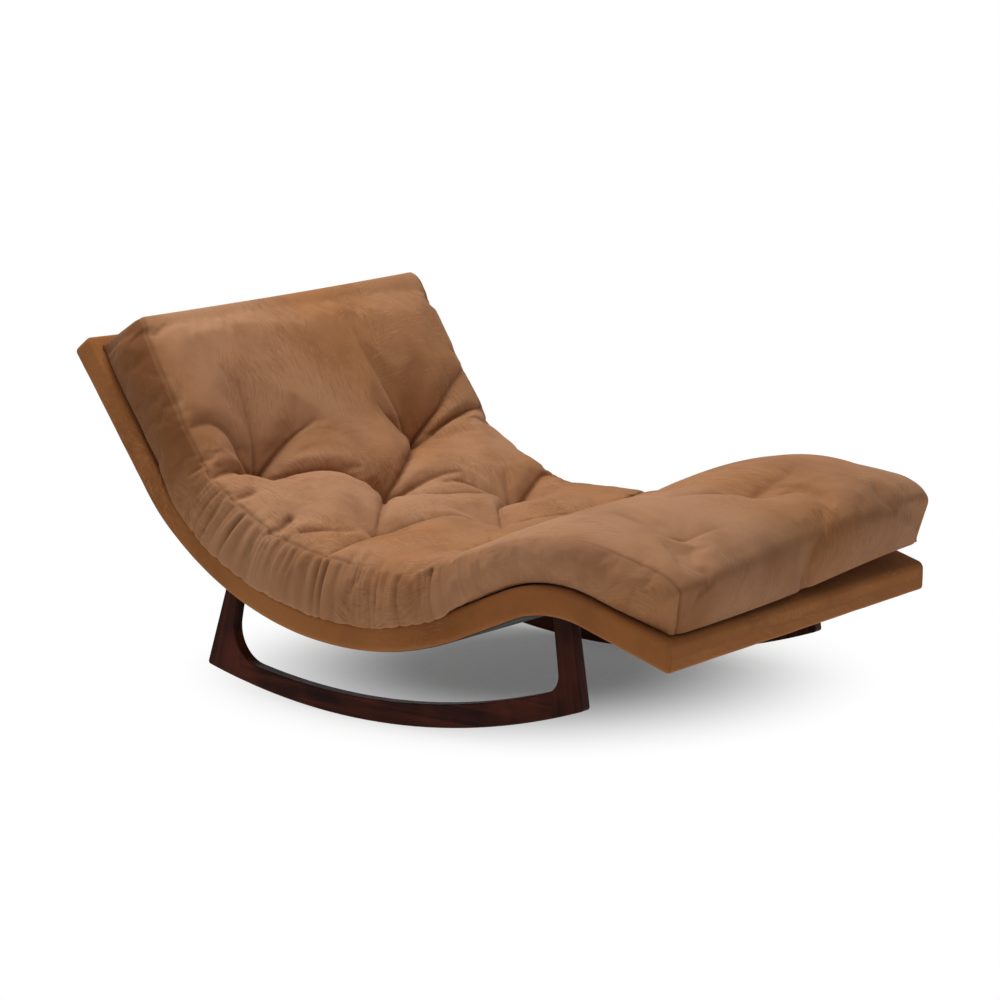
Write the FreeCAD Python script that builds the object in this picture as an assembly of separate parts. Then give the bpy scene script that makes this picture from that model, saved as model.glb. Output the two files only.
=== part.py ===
import FreeCAD, Part
import math
import os
from FreeCAD import Vector

# Rocking chaise lounge. Millimetres and degrees. +X points to the foot end, +Y is the sitter's left,
# +Z is up, and the origin lies on the floor under the middle of the deck.

# Deck line: the underside of the deck seen from the side, from the head end to the foot end
deck_width = 990.0
deck_thickness = 60.0
head_edge_z = 722.6
back_slope = 54.0
back_length = 370.8
shoulder_radius = 452.0
shoulder_turn = 11.9
seat_radius = 760.0
seat_turn = 65.6
thigh_length = 139.0
knee_radius = 249.0
knee_turn = 40.75
calf_length = 215.6

# Deck layers, from the cover inwards
cloth = 1.5
edge_round = 12.0
cover_return = 35.0
layer_gap = 0.2
deck_foam_thickness = 8.0
edge_padding = 13.0
panel_thickness = 9.0
rib_width = 22.0
end_rail_width = 20.0
cross_rail_width = 60.0
dust_cloth = 0.9
dust_margin = 15.0

# Rocker frames
rocker_radius = 1658.0
rocker_low_x = -18.0
rocker_inset = 42.0
rocker_thickness = 28.0
runner_depth = 47.0
runner_top_radius = 1600.0
runner_top_shift = -13.0
runner_end_round = 7.0
rocker_edge_round = 3.0
post_gauge_height = 140.0
rear_post_outer_x = -414.5
rear_post_width = 50.0
rear_post_outer_lean = 18.8
rear_post_inner_lean = 11.7
rear_corner_radius = 78.0
front_post_outer_x = 566.5
front_post_width = 51.0
front_post_outer_lean = -8.7
front_post_inner_lean = -6.5
front_corner_radius = 40.0
joint_from_post = 18.0
seat_on_deck_gap = 0.3

# Dowels and stretchers
dowel_radius = 5.0
dowel_length = 50.0
dowel_spacing = 22.0
dowel_fit = 0.05
dowel_end_gap = 1.0
stretcher_width = 36.0
stretcher_thickness = 20.0
stretcher_dowel_radius = 4.0
stretcher_dowel_length = 48.0
stretcher_dowel_in_post = 20.0
stretcher_dowel_spacing = 20.0

# Deck bolts, washers and tee nuts
bolt_radius = 4.0
bolt_hole_gap = 0.4
bolt_y = 250.0
bolt_head_across = 13.0
bolt_head_height = 5.3
washer_radius = 8.5
washer_thickness = 1.6
tee_flange_radius = 11.0
tee_flange_thickness = 1.5
tee_barrel_radius = 5.2
tee_barrel_length = 14.0
tee_thread_gap = 0.05
bolt_past_nut = 1.0

# Hook and loop strips between deck and cushion
strip_thickness = 0.9
strip_width = 50.0
strip_length = 720.0
strip_end_inset = 110.0
strip_gap = 0.3

# Cushion, with s measured along the deck line and heights above the deck's top
cushion_head_inset = 30.0
cushion_foot_inset = 39.0
cushion_side_inset = 17.0
cushion_seam_draw_in = 4.0
side_bulge = 27.0
seam_height = 110.0
head_rise = 16.0
head_rise_length = 260.0
crown_rise = 40.0
head_roll_length = 45.0
head_end_share = 0.86
head_width_loss = 16.0
foot_roll_length = 105.0
foot_end_share = 0.6
foot_width_loss = 36.0
tuft_first_s = 475.0
tuft_pitch = 197.0
tuft_rows = 7
tuft_y = 220.0
tuft_depth = 52.0
tuft_reach = 68.0
tuft_side_reach = 0.22
steps_per_row = 7
roll_steps = 5
wrap_thickness = 10.0
band_clearance = 0.4
tie_radius = 1.2
tie_hole_radius = 3.0
anchor_radius = 11.0
anchor_thickness = 2.5
anchor_gap = 0.5

# Zip in the head band
zip_height = 58.0
zip_length = 700.0
zip_slot = 8.0
zip_tape_width = 14.0
zip_tape_thickness = 0.5
zip_chain_width = 5.2
zip_chain_thickness = 1.8
zip_gap = 0.4
zip_pocket_depth = 5.0
slider_length = 10.0
slider_plate = 1.2
slider_end_inset = 12.0
bail_width = 2.0
bail_height = 2.6
pull_pin_radius = 0.6
pull_pin_gap = 0.1
pull_width = 6.0
pull_thickness = 1.2
pull_length = 27.0

# Small lengths the drawing itself needs
same_place = 1e-3
past_joint = 1e-9
fuse_overlap = 0.1
halvings = 60


def cos_deg(angle):
    return math.cos(math.radians(angle))


def sin_deg(angle):
    return math.sin(math.radians(angle))


def tan_deg(angle):
    return math.tan(math.radians(angle))


def walk_deck_line():
    """Spans of the deck line with their start, heading, length and signed bend radius."""
    plan = (
        (back_length, 0.0, 0.0),
        (None, shoulder_radius, shoulder_turn),
        (None, seat_radius, seat_turn),
        (thigh_length, 0.0, 0.0),
        (None, knee_radius, -knee_turn),
        (calf_length, 0.0, 0.0),
    )
    spans = []
    s = 0.0
    x = 0.0
    z = head_edge_z
    heading = -back_slope
    for length, radius, turn in plan:
        if radius:
            length = radius * math.radians(abs(turn))
            bend = math.copysign(radius, turn)
        else:
            bend = 0.0
        spans.append((s, length, x, z, heading, bend))
        if bend:
            centre_x = x - bend * sin_deg(heading)
            centre_z = z + bend * cos_deg(heading)
            heading += turn
            x = centre_x + bend * sin_deg(heading)
            z = centre_z - bend * cos_deg(heading)
        else:
            x += length * cos_deg(heading)
            z += length * sin_deg(heading)
        s += length
    return [(s, length, x0 - x / 2, z, heading, bend) for s, length, x0, z, heading, bend in spans]


deck_spans = walk_deck_line()
deck_line_length = deck_spans[-1][0] + deck_spans[-1][1]


def span_at(s):
    for span in deck_spans:
        if s <= span[0] + span[1]:
            return span
    return deck_spans[-1]


def heading_at(s):
    start, length, x, z, heading, bend = span_at(s)
    if bend:
        heading += math.degrees((s - start) / bend)
    return heading


def deck_point(s, h, y=0.0):
    """Point at s along the deck line, h along the deck's normal and y across."""
    start, length, x, z, heading, bend = span_at(s)
    if bend:
        centre_x = x - bend * sin_deg(heading)
        centre_z = z + bend * cos_deg(heading)
        heading += math.degrees((s - start) / bend)
        return Vector(
            centre_x + (bend - h) * sin_deg(heading), y, centre_z - (bend - h) * cos_deg(heading)
        )
    run = s - start
    return Vector(
        x + run * cos_deg(heading) - h * sin_deg(heading),
        y,
        z + run * sin_deg(heading) + h * cos_deg(heading),
    )


foot_x = deck_point(deck_line_length, 0.0).x


def head_cut(inset):
    """Square end at the head, set in from the deck's end."""
    return lambda h: inset


def foot_cut(inset):
    """Plumb end at the foot, set in from the deck's front face."""
    slope = heading_at(deck_line_length)
    return lambda h: deck_line_length + (h * sin_deg(slope) - inset) / cos_deg(slope)


def square_cut(s):
    return lambda h: s


def deck_edges(h, s_from, s_to):
    """Lines and arcs that follow the deck line at the height h."""
    edges = []
    for start, length, x, z, heading, bend in deck_spans:
        low = max(start, s_from)
        high = min(start + length, s_to)
        if start + length == deck_line_length:
            high = s_to
        if high - low < same_place:
            continue
        a = deck_point(low + past_joint, h)
        b = deck_point(high, h)
        if bend:
            edges.append(Part.Arc(a, deck_point((low + high) / 2, h), b).toShape())
        else:
            edges.append(Part.makeLine(a, b))
    return edges


def deck_piece(h_low, h_high, start_cut, end_cut, y_low, y_high):
    """Piece between two heights, two end cuts and two widths that follows the deck line."""
    below = deck_edges(h_low, start_cut(h_low), end_cut(h_low))
    above = deck_edges(h_high, start_cut(h_high), end_cut(h_high))
    corners = (
        below[0].Vertexes[0].Point,
        below[-1].Vertexes[-1].Point,
        above[-1].Vertexes[-1].Point,
        above[0].Vertexes[0].Point,
    )
    edges = below + above
    edges.append(Part.makeLine(corners[1], corners[2]))
    edges.append(Part.makeLine(corners[3], corners[0]))
    face = Part.Face(Part.Wire(Part.__sortEdges__(edges)))
    face.translate(Vector(0, y_low, 0))
    return face.extrude(Vector(0, y_high - y_low, 0))


def deck_block(h_low, h_high, inset, side_inset):
    half = deck_width / 2 - side_inset
    return deck_piece(h_low, h_high, head_cut(inset), foot_cut(inset), -half, half)


def rounded_block(h_low, h_high, inset, radius):
    """Deck block whose long edges, ends and corners are all rounded."""
    block = deck_block(h_low, h_high, inset, inset)
    half = deck_width / 2 - inset
    chosen = []
    for edge in block.Edges:
        ys = [vertex.Y for vertex in edge.Vertexes]
        along_side = max(abs(abs(y) - half) for y in ys) < same_place
        middle = edge.CenterOfMass
        on_head_face = deck_point(inset, middle_height(middle, inset))
        head_end = (middle - on_head_face).Length < same_place
        foot_end = abs(middle.x - block.BoundBox.XMax) < same_place
        if along_side or head_end or foot_end:
            chosen.append(edge)
    return block.makeFillet(radius, chosen)


def middle_height(point, s):
    """Height above the deck line of a point near the station s."""
    base = deck_point(s, 0.0)
    up = deck_point(s, 1.0) - base
    return (point - base).dot(up)


def local_box(s, h_low, h_high, half_run, y_low, y_high):
    """Straight box square to the deck line at the station s."""
    corners = [
        deck_local(s, -half_run, h_low, y_low),
        deck_local(s, half_run, h_low, y_low),
        deck_local(s, half_run, h_high, y_low),
        deck_local(s, -half_run, h_high, y_low),
    ]
    face = Part.Face(Part.makePolygon(corners + corners[:1]))
    return face.extrude(Vector(0, y_high - y_low, 0))


def deck_local(s, run, h, y):
    """Point in the straight frame that touches the deck line at the station s."""
    slope = heading_at(s)
    return deck_point(s, h, y) + Vector(run * cos_deg(slope), 0, run * sin_deg(slope))


def deck_rod(s, run, y, h_low, h_high, radius):
    """Cylinder square to the deck."""
    base = deck_local(s, run, h_low, y)
    top = deck_local(s, run, h_high, y)
    return Part.makeCylinder(radius, h_high - h_low, base, top - base)


def deck_s_at_x(x, h):
    """Station along the deck line whose point at the height h has the given x."""
    low = 0.0
    high = deck_line_length
    for _ in range(halvings):
        middle = (low + high) / 2
        if deck_point(middle, h).x < x:
            low = middle
        else:
            high = middle
    return low


# Heights of the deck's layers above its underside
shell_low = cloth + layer_gap
shell_high = deck_thickness - cloth - layer_gap
panel_high = shell_high - deck_foam_thickness - layer_gap
panel_low = panel_high - panel_thickness
rib_high = panel_low - layer_gap
core_inset = cloth + layer_gap + edge_padding + layer_gap
under_deck = -dust_cloth - layer_gap - seat_on_deck_gap
stretcher_low = under_deck - stretcher_thickness


def rocker_line_x(gauge_x, lean, z):
    """X of a leaning post edge at the height z."""
    return gauge_x + (z - post_gauge_height) * tan_deg(lean)


def post_top_s(outer_x, outer_lean, inner_x, inner_lean):
    """Station where a post's middle line meets the deck."""
    z = post_gauge_height
    for _ in range(20):
        outer = rocker_line_x(outer_x, outer_lean, z)
        inner = rocker_line_x(inner_x, inner_lean, z)
        s = deck_s_at_x((outer + inner) / 2, under_deck)
        z = deck_point(s, under_deck).z
    return s


rear_post_inner_x = rear_post_outer_x + rear_post_width
front_post_inner_x = front_post_outer_x - front_post_width
rear_joint_x = rear_post_inner_x + joint_from_post
front_joint_x = front_post_inner_x - joint_from_post
stretcher_stations = {
    "rear": post_top_s(
        rear_post_outer_x, rear_post_outer_lean, rear_post_inner_x, rear_post_inner_lean
    ),
    "front": post_top_s(
        front_post_outer_x, front_post_outer_lean, front_post_inner_x, front_post_inner_lean
    ),
}


def floor_arc_z(x):
    """Height of the runner's rocking edge above the floor."""
    return rocker_radius - math.sqrt(rocker_radius**2 - (x - rocker_low_x) ** 2)


def runner_top_z(x):
    centre_x = rocker_low_x + runner_top_shift
    return runner_depth + runner_top_radius - math.sqrt(runner_top_radius**2 - (x - centre_x) ** 2)


def edge_foot(gauge_x, lean, height_of):
    """Where a leaning post edge meets a curve given by its height over x."""
    z = post_gauge_height
    for _ in range(halvings):
        z = height_of(rocker_line_x(gauge_x, lean, z))
    return Vector(rocker_line_x(gauge_x, lean, z), 0, z)


def arc_over(height_of, a, b):
    middle_x = (a.x + b.x) / 2
    return Part.Arc(a, Vector(middle_x, 0, height_of(middle_x)), b).toShape()


def open_frame(y_low):
    """One rocker side in one piece, before it is parted at its joints: runner and both posts."""
    top_z = head_edge_z / 2
    rear_out = edge_foot(rear_post_outer_x, rear_post_outer_lean, floor_arc_z)
    front_out = edge_foot(front_post_outer_x, front_post_outer_lean, floor_arc_z)
    rear_in = edge_foot(rear_post_inner_x, rear_post_inner_lean, runner_top_z)
    front_in = edge_foot(front_post_inner_x, front_post_inner_lean, runner_top_z)
    rear_out_top = Vector(rocker_line_x(rear_post_outer_x, rear_post_outer_lean, top_z), 0, top_z)
    rear_in_top = Vector(rocker_line_x(rear_post_inner_x, rear_post_inner_lean, top_z), 0, top_z)
    front_in_top = Vector(rocker_line_x(front_post_inner_x, front_post_inner_lean, top_z), 0, top_z)
    front_out_top = Vector(
        rocker_line_x(front_post_outer_x, front_post_outer_lean, top_z), 0, top_z
    )
    edges = [
        arc_over(floor_arc_z, rear_out, front_out),
        Part.makeLine(front_out, front_out_top),
        Part.makeLine(front_out_top, front_in_top),
        Part.makeLine(front_in_top, front_in),
        arc_over(runner_top_z, front_in, rear_in),
        Part.makeLine(rear_in, rear_in_top),
        Part.makeLine(rear_in_top, rear_out_top),
        Part.makeLine(rear_out_top, rear_out),
    ]
    face = Part.Face(Part.Wire(edges))
    face.translate(Vector(0, y_low, 0))
    solid = face.extrude(Vector(0, rocker_thickness, 0))
    rounds = (
        (rear_in, rear_corner_radius),
        (front_in, front_corner_radius),
        (rear_out, runner_end_round),
        (front_out, runner_end_round),
    )
    for corner, radius in rounds:
        solid = solid.makeFillet(radius, [cross_edge(solid, corner)])
    rim = [
        edge
        for edge in solid.Edges
        if abs(edge.Vertexes[0].Y - edge.Vertexes[-1].Y) < same_place
        and edge.BoundBox.ZMin < top_z - same_place
    ]
    return solid.makeFillet(rocker_edge_round, rim)


def cross_edge(solid, corner):
    """The edge that runs along Y through a corner of the side outline."""
    for edge in solid.Edges:
        a, b = edge.Vertexes[0].Point, edge.Vertexes[-1].Point
        crosses = abs(a.y - b.y) > rocker_thickness / 2
        if crosses and Vector(a.x - corner.x, 0, a.z - corner.z).Length < same_place:
            return edge
    raise ValueError("no edge at that corner")


def dowel_sites():
    """Middle points of the dowels across the post joints, in the rocker's own plane."""
    sites = []
    for joint_x in (rear_joint_x, front_joint_x):
        middle = (floor_arc_z(joint_x) + runner_top_z(joint_x)) / 2
        for side in (-0.5, 0.5):
            sites.append((joint_x, middle + side * dowel_spacing))
    return sites


def dowel(x, y, z, gap, end_gap):
    """Dowel through a post joint, along the runner so that it stays inside it."""
    length = dowel_length + 2 * end_gap
    slope = math.asin((x - rocker_low_x) / rocker_radius)
    along = Vector(math.cos(slope), 0, math.sin(slope))
    return Part.makeCylinder(
        dowel_radius + gap, length, Vector(x, y, z) - along * (length / 2), along
    )


def stretcher_dowel(s, run, side, gap, end_gap):
    """Dowel along Y between a stretcher's end and the inner face of a post."""
    inner_y = deck_width / 2 - rocker_inset - rocker_thickness
    centre = deck_local(s, run, under_deck - stretcher_thickness / 2, 0.0)
    far = inner_y + stretcher_dowel_in_post + end_gap
    length = stretcher_dowel_length + 2 * end_gap
    y = far - length if side > 0 else -far
    return Part.makeCylinder(
        stretcher_dowel_radius + gap, length, Vector(centre.x, y, centre.z), Vector(0, 1, 0)
    )


def all_stretcher_dowels(gap, end_gap):
    return [
        stretcher_dowel(s, run * stretcher_dowel_spacing / 2, side, gap, end_gap)
        for s in stretcher_stations.values()
        for run in (-1, 1)
        for side in (-1, 1)
    ]


def rocker_side(side):
    """Runner, front post and rear post of one side."""
    outer = deck_width / 2 - rocker_inset
    y_low = -outer if side < 0 else outer - rocker_thickness
    frame = open_frame(y_low)
    frame = frame.cut(
        deck_piece(under_deck, head_edge_z, head_cut(0.0), foot_cut(0.0), -outer, outer)
    )
    holes = [
        dowel(x, y_low + rocker_thickness / 2, z, dowel_fit, dowel_end_gap)
        for x, z in dowel_sites()
    ]
    holes += all_stretcher_dowels(dowel_fit, dowel_end_gap)
    frame = frame.cut(Part.makeCompound(holes))
    reach = 2 * rocker_radius
    middle = Part.makeBox(
        front_joint_x - rear_joint_x,
        reach,
        reach,
        Vector(rear_joint_x, -reach / 2, -reach / 2),
    )
    front = Part.makeBox(reach, reach, reach, Vector(front_joint_x, -reach / 2, -reach / 2))
    rear = Part.makeBox(reach, reach, reach, Vector(rear_joint_x - reach, -reach / 2, -reach / 2))
    return {
        "runner": frame.common(middle),
        "front_post": frame.common(front),
        "rear_post": frame.common(rear),
    }


def runner_dowels():
    outer = deck_width / 2 - rocker_inset - rocker_thickness / 2
    pegs = [dowel(x, side * outer, z, 0.0, 0.0) for side in (-1, 1) for x, z in dowel_sites()]
    return Part.makeCompound(pegs)


def stretcher(s):
    inner_y = deck_width / 2 - rocker_inset - rocker_thickness
    board = local_box(
        s, stretcher_low, under_deck + deck_thickness / 6, stretcher_width / 2, -inner_y, inner_y
    )
    board = board.cut(
        deck_piece(under_deck, head_edge_z, head_cut(0.0), foot_cut(0.0), -inner_y, inner_y)
    )
    cuts = all_stretcher_dowels(dowel_fit, dowel_end_gap)
    cuts += [
        deck_rod(s, 0.0, y, stretcher_low - 1, deck_thickness, bolt_radius + bolt_hole_gap)
        for y in (-bolt_y, bolt_y)
    ]
    return board.cut(Part.makeCompound(cuts))


def bolt_sites():
    return [(s, y) for s in stretcher_stations.values() for y in (-bolt_y, bolt_y)]


cross_rail_high = rib_high - tee_flange_thickness - layer_gap


def deck_bolts():
    """Hexagon bolts up through the stretchers into the tee nuts."""
    bolts = []
    washer_low = stretcher_low - washer_thickness
    for s, y in bolt_sites():
        shank = deck_rod(s, 0.0, y, washer_low, cross_rail_high + bolt_past_nut, bolt_radius)
        corner = bolt_head_across / 2 / cos_deg(30)
        points = [
            deck_local(
                s, corner * cos_deg(60 * i), washer_low - bolt_head_height, y + corner * sin_deg(60 * i)
            )
            for i in range(6)
        ]
        up = deck_point(s, 1.0) - deck_point(s, 0.0)
        head = Part.Face(Part.makePolygon(points + points[:1])).extrude(up * bolt_head_height)
        bolts.append(shank.fuse(head))
    return Part.makeCompound(bolts)


def deck_washers():
    washers = []
    washer_low = stretcher_low - washer_thickness
    for s, y in bolt_sites():
        disc = deck_rod(s, 0.0, y, washer_low, stretcher_low, washer_radius)
        hole = deck_rod(s, 0.0, y, washer_low - 1, stretcher_low + 1, bolt_radius + bolt_hole_gap)
        washers.append(disc.cut(hole))
    return Part.makeCompound(washers)


def tee_nuts():
    """Flanged nuts let down into the cross rails from above."""
    nuts = []
    for s, y in bolt_sites():
        top = cross_rail_high
        flange = deck_rod(s, 0.0, y, top, top + tee_flange_thickness, tee_flange_radius)
        barrel = deck_rod(s, 0.0, y, top - tee_barrel_length, top, tee_barrel_radius)
        bore = deck_rod(
            s, 0.0, y, top - tee_barrel_length - 1, top + 10, bolt_radius + tee_thread_gap
        )
        nuts.append(flange.fuse(barrel).cut(bore))
    return Part.makeCompound(nuts)


def deck_cover():
    """Sewn cloth round the deck, turned in below along all four edges."""
    outer = rounded_block(0.0, deck_thickness, 0.0, edge_round)
    inner = rounded_block(cloth, deck_thickness - cloth, cloth, edge_round - cloth)
    opening = deck_block(-cloth, 2 * cloth, cover_return, cover_return)
    return outer.cut(inner).cut(opening)


def deck_foam():
    """Thin padding over the panel and down round the edges."""
    inset = cloth + layer_gap
    pad = rounded_block(shell_low, shell_high, inset, edge_round - inset)
    inset = core_inset - layer_gap
    hollow = deck_block(-deck_thickness, panel_high + layer_gap, inset, inset)
    return pad.cut(hollow)


def deck_panel():
    return deck_block(panel_low, panel_high, core_inset, core_inset)


def rib(y_low, y_high):
    ends = core_inset + end_rail_width + layer_gap
    return deck_piece(shell_low, rib_high, head_cut(ends), foot_cut(ends), y_low, y_high)


def end_rail(at_head):
    half = deck_width / 2 - core_inset
    inner = core_inset + end_rail_width
    if at_head:
        return deck_piece(shell_low, rib_high, head_cut(core_inset), head_cut(inner), -half, half)
    return deck_piece(shell_low, rib_high, foot_cut(inner), foot_cut(core_inset), -half, half)


def cross_rail(s):
    """Pair of blocks between the ribs that the deck bolts pull on."""
    inner = rib_width / 2 + layer_gap
    outer = deck_width / 2 - core_inset - rib_width - layer_gap
    ends = (square_cut(s - cross_rail_width / 2), square_cut(s + cross_rail_width / 2))
    blocks = []
    for side in (-1, 1):
        y_low, y_high = sorted((side * inner, side * outer))
        block = deck_piece(shell_low, cross_rail_high, ends[0], ends[1], y_low, y_high)
        hole = deck_rod(
            s, 0.0, side * bolt_y, 0.0, deck_thickness, tee_barrel_radius + dowel_fit
        )
        flange_seat = deck_rod(
            s, 0.0, side * bolt_y, cross_rail_high, deck_thickness, tee_flange_radius + layer_gap
        )
        blocks.append(block.cut(hole).cut(flange_seat))
    return Part.makeCompound(blocks)


def dust_cover():
    sheet = deck_block(-layer_gap - dust_cloth, -layer_gap, dust_margin, dust_margin)
    holes = [
        deck_rod(s, 0.0, y, -bolt_radius, bolt_radius, bolt_radius + bolt_hole_gap) for s, y in bolt_sites()
    ]
    return sheet.cut(Part.makeCompound(holes))


hook_low = deck_thickness + layer_gap
hook_high = hook_low + strip_thickness
loop_low = hook_high + strip_gap
loop_high = loop_low + strip_thickness
cushion_base = loop_high + strip_gap - deck_thickness
wrap_inset = cloth + layer_gap


def strips(h_low, h_high):
    half = strip_length / 2
    return Part.makeCompound(
        [
            deck_piece(
                h_low,
                h_high,
                square_cut(s - strip_width / 2),
                square_cut(s + strip_width / 2),
                -half,
                half,
            )
            for s in strip_places
        ]
    )


cushion_head_s = cushion_head_inset
cushion_foot_s = deck_line_length - cushion_foot_inset
cushion_base_half = deck_width / 2 - cushion_side_inset
cushion_seam_half = cushion_base_half - cushion_seam_draw_in
strip_places = (
    cushion_head_s + strip_end_inset,
    (cushion_head_s + cushion_foot_s) / 2,
    cushion_foot_s - strip_end_inset,
)


def tuft_row_s():
    return [tuft_first_s + i * tuft_pitch for i in range(tuft_rows)]


def tuft_sites():
    """Station and y of every tuft: two and one by turns."""
    sites = []
    for i, s in enumerate(tuft_row_s()):
        if i % 2:
            sites.append((s, 0.0))
        else:
            sites += [(s, -tuft_y), (s, tuft_y)]
    return sites


def pull_at(s, first_row):
    """How far the tufts of every other row pull the top down at the station s."""
    rows = tuft_row_s()[first_row::2]
    return tuft_depth * sum(math.exp(-(((s - row) / tuft_reach) ** 2)) for row in rows)


def end_roll(run, length):
    """0 at the end, rising on a quarter round to 1 at the given length."""
    share = min(max(run / length, 0.0), 1.0)
    return math.sqrt(1 - (1 - share) ** 2)


def seam_at(s):
    rise = max(0.0, 1 - (s - cushion_head_s) / head_rise_length)
    return seam_height + head_rise * rise


def section_points(s, inset, end_inset=0.0):
    """Half of the cushion's outline at the station s, drawn in by inset, and by end_inset at its ends."""
    head = 1 - end_roll(s - cushion_head_s - end_inset, head_roll_length)
    foot = 1 - end_roll(cushion_foot_s - end_inset - s, foot_roll_length)
    share = 1 - head * (1 - head_end_share) - foot * (1 - foot_end_share)
    loss = head * head_width_loss + foot * foot_width_loss
    base_half = cushion_base_half - loss / 2 - inset
    seam_half = cushion_seam_half - loss / 2 - inset
    low = cushion_base + inset
    seam = cushion_base + seam_at(s) * share - inset
    crown = crown_rise * share
    pull_pair = pull_at(s, 0) * share
    pull_one = pull_at(s, 1) * share
    bulge_half = base_half + side_bulge * share

    def top(y, pull):
        return seam + crown * (1 - (y / seam_half) ** 2) - pull

    outer_y = (seam_half + tuft_y) / 2
    inner_y = tuft_y / 2
    return {
        "base": (base_half, low),
        "bulge": (bulge_half, (low + seam) / 2 - inset / 4),
        "seam": (seam_half, seam),
        "outer": (outer_y, top(outer_y, tuft_side_reach * pull_pair)),
        "pair": (tuft_y, top(tuft_y, pull_pair)),
        "inner": (inner_y, top(inner_y, tuft_side_reach * (pull_pair + pull_one))),
        "one": (0.0, top(0.0, pull_one)),
    }


def station_point(s, y, h):
    return deck_point(s, deck_thickness + h, y)


def mirrored_chain(s, points, names):
    """Points across the cushion from right to left, through the middle if it is named last."""
    half = [station_point(s, -points[name][0], points[name][1]) for name in names]
    other = [station_point(s, points[name][0], points[name][1]) for name in names]
    if points[names[-1]][0] == 0.0:
        other = other[:-1]
    return half + other[::-1]


top_names = ("seam", "outer", "pair", "inner", "one")


def arcs_through(points):
    """Arcs through each three points of a chain in turn."""
    return [
        Part.Arc(points[i], points[i + 1], points[i + 2]).toShape()
        for i in range(0, len(points) - 2, 2)
    ]


def whole_outline(s, inset, end_inset=0.0):
    """Closed section: base line, two bulging sides and four arcs over the top."""
    points = section_points(s, inset, end_inset)
    right = [station_point(s, -points[n][0], points[n][1]) for n in ("base", "bulge", "seam")]
    left = [station_point(s, points[n][0], points[n][1]) for n in ("seam", "bulge", "base")]
    top = mirrored_chain(s, points, top_names)
    edges = arcs_through(right) + arcs_through(top) + arcs_through(left)
    edges.append(Part.makeLine(left[2], right[0]))
    return Part.Wire(edges)


def strip_outline(outer, inner):
    """Closed section between two like chains of points."""
    edges = arcs_through(outer)
    edges.append(Part.makeLine(outer[-1], inner[-1]))
    edges += arcs_through(inner[::-1])
    edges.append(Part.makeLine(inner[0], outer[0]))
    return Part.Wire(edges)


def stations(s_low, s_high):
    """Section stations: close on the rolled ends, then even steps that fall on every tuft row."""
    rolls = [1 - cos_deg(90 * i / roll_steps) for i in range(roll_steps + 1)]
    places = [s_low + head_roll_length * r for r in rolls]
    last = [s_high - foot_roll_length * r for r in rolls[::-1]]
    step = tuft_pitch / steps_per_row
    s = tuft_first_s - step * int((tuft_first_s - s_low) / step)
    while s < last[0] - step / 3:
        if s > places[-1] + step / 3:
            places.append(s)
        s += step
    return places + last


def cushion_solid(inset, end_inset):
    """Whole cushion drawn in by inset, and by end_inset at its ends."""
    places = stations(cushion_head_s + end_inset, cushion_foot_s - end_inset)
    wires = [whole_outline(s, inset, end_inset) for s in places]
    return Part.makeLoft(wires, True, True)


def strip_loft(make_section):
    wires = [make_section(s) for s in stations(cushion_head_s, cushion_foot_s)]
    return Part.makeLoft(wires, True, True)


def top_panel():
    """Tufted cloth panel from seam to seam."""

    def section(s):
        outer = mirrored_chain(s, section_points(s, 0.0), top_names)
        inner = mirrored_chain(s, section_points(s, cloth), top_names)
        inner[0] = outer[0] + (inner[0] - outer[0]).normalize() * cloth
        inner[-1] = outer[-1] + (inner[-1] - outer[-1]).normalize() * cloth
        return strip_outline(outer, inner)

    return strip_loft(section)


def side_band(side):
    """Boxing between the top panel's seam and the base seam, swelling outwards."""

    def section(s):
        points = section_points(s, wrap_inset)
        chain = [points[name] for name in ("base", "bulge", "seam")]
        inner = [station_point(s, side * (y + layer_gap), h) for y, h in chain]
        outer = [station_point(s, side * (y + wrap_inset), h) for y, h in chain]
        return strip_outline(outer, inner)

    return strip_loft(section)


def bottom_panel():
    def section(s):
        half, low = section_points(s, 0.0)["base"]
        corners = [
            station_point(s, -half, low),
            station_point(s, half, low),
            station_point(s, half, low + cloth),
            station_point(s, -half, low + cloth),
        ]
        return Part.makePolygon(corners + corners[:1])

    return strip_loft(section)


def zip_point(run, y, h):
    """Point on the head band: run inwards from its outer face, h above the deck's top."""
    return deck_local(cushion_head_s, run, deck_thickness + h, y)


def zip_box(run_low, run_high, y_low, y_high, h_low, h_high):
    corners = [
        zip_point(run_low, y_low, h_low),
        zip_point(run_high, y_low, h_low),
        zip_point(run_high, y_low, h_high),
        zip_point(run_low, y_low, h_high),
    ]
    return Part.Face(Part.makePolygon(corners + corners[:1])).extrude(Vector(0, y_high - y_low, 0))


def end_band(at_head):
    """Cloth panel that closes one end, inside the ring of top, bottom and side pieces."""
    inset = cloth + band_clearance
    s = cushion_head_s if at_head else cushion_foot_s
    outline = whole_outline(s, inset)
    run = deck_local(s, cloth, 0.0, 0.0) - deck_local(s, 0.0, 0.0, 0.0)
    band = Part.Face(outline).extrude(run if at_head else run * -1)
    if at_head:
        half = zip_length / 2 + slider_length / 4
        slot = zip_box(-10, 10, -half, half, zip_height - zip_slot / 2, zip_height + zip_slot / 2)
        band = band.cut(slot)
    return band


tape_run = wrap_inset
chain_run = layer_gap
pocket_half_height = zip_chain_width / 2 + zip_gap + zip_tape_width + 2.0


def zip_tape():
    tapes = []
    for side in (-1, 1):
        near = side * (zip_chain_width / 2 + layer_gap)
        far = near + side * zip_tape_width
        h_low, h_high = sorted((zip_height + near, zip_height + far))
        tapes.append(
            zip_box(
                tape_run,
                tape_run + zip_tape_thickness,
                -zip_length / 2,
                zip_length / 2,
                h_low,
                h_high,
            )
        )
    return Part.makeCompound(tapes)


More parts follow.
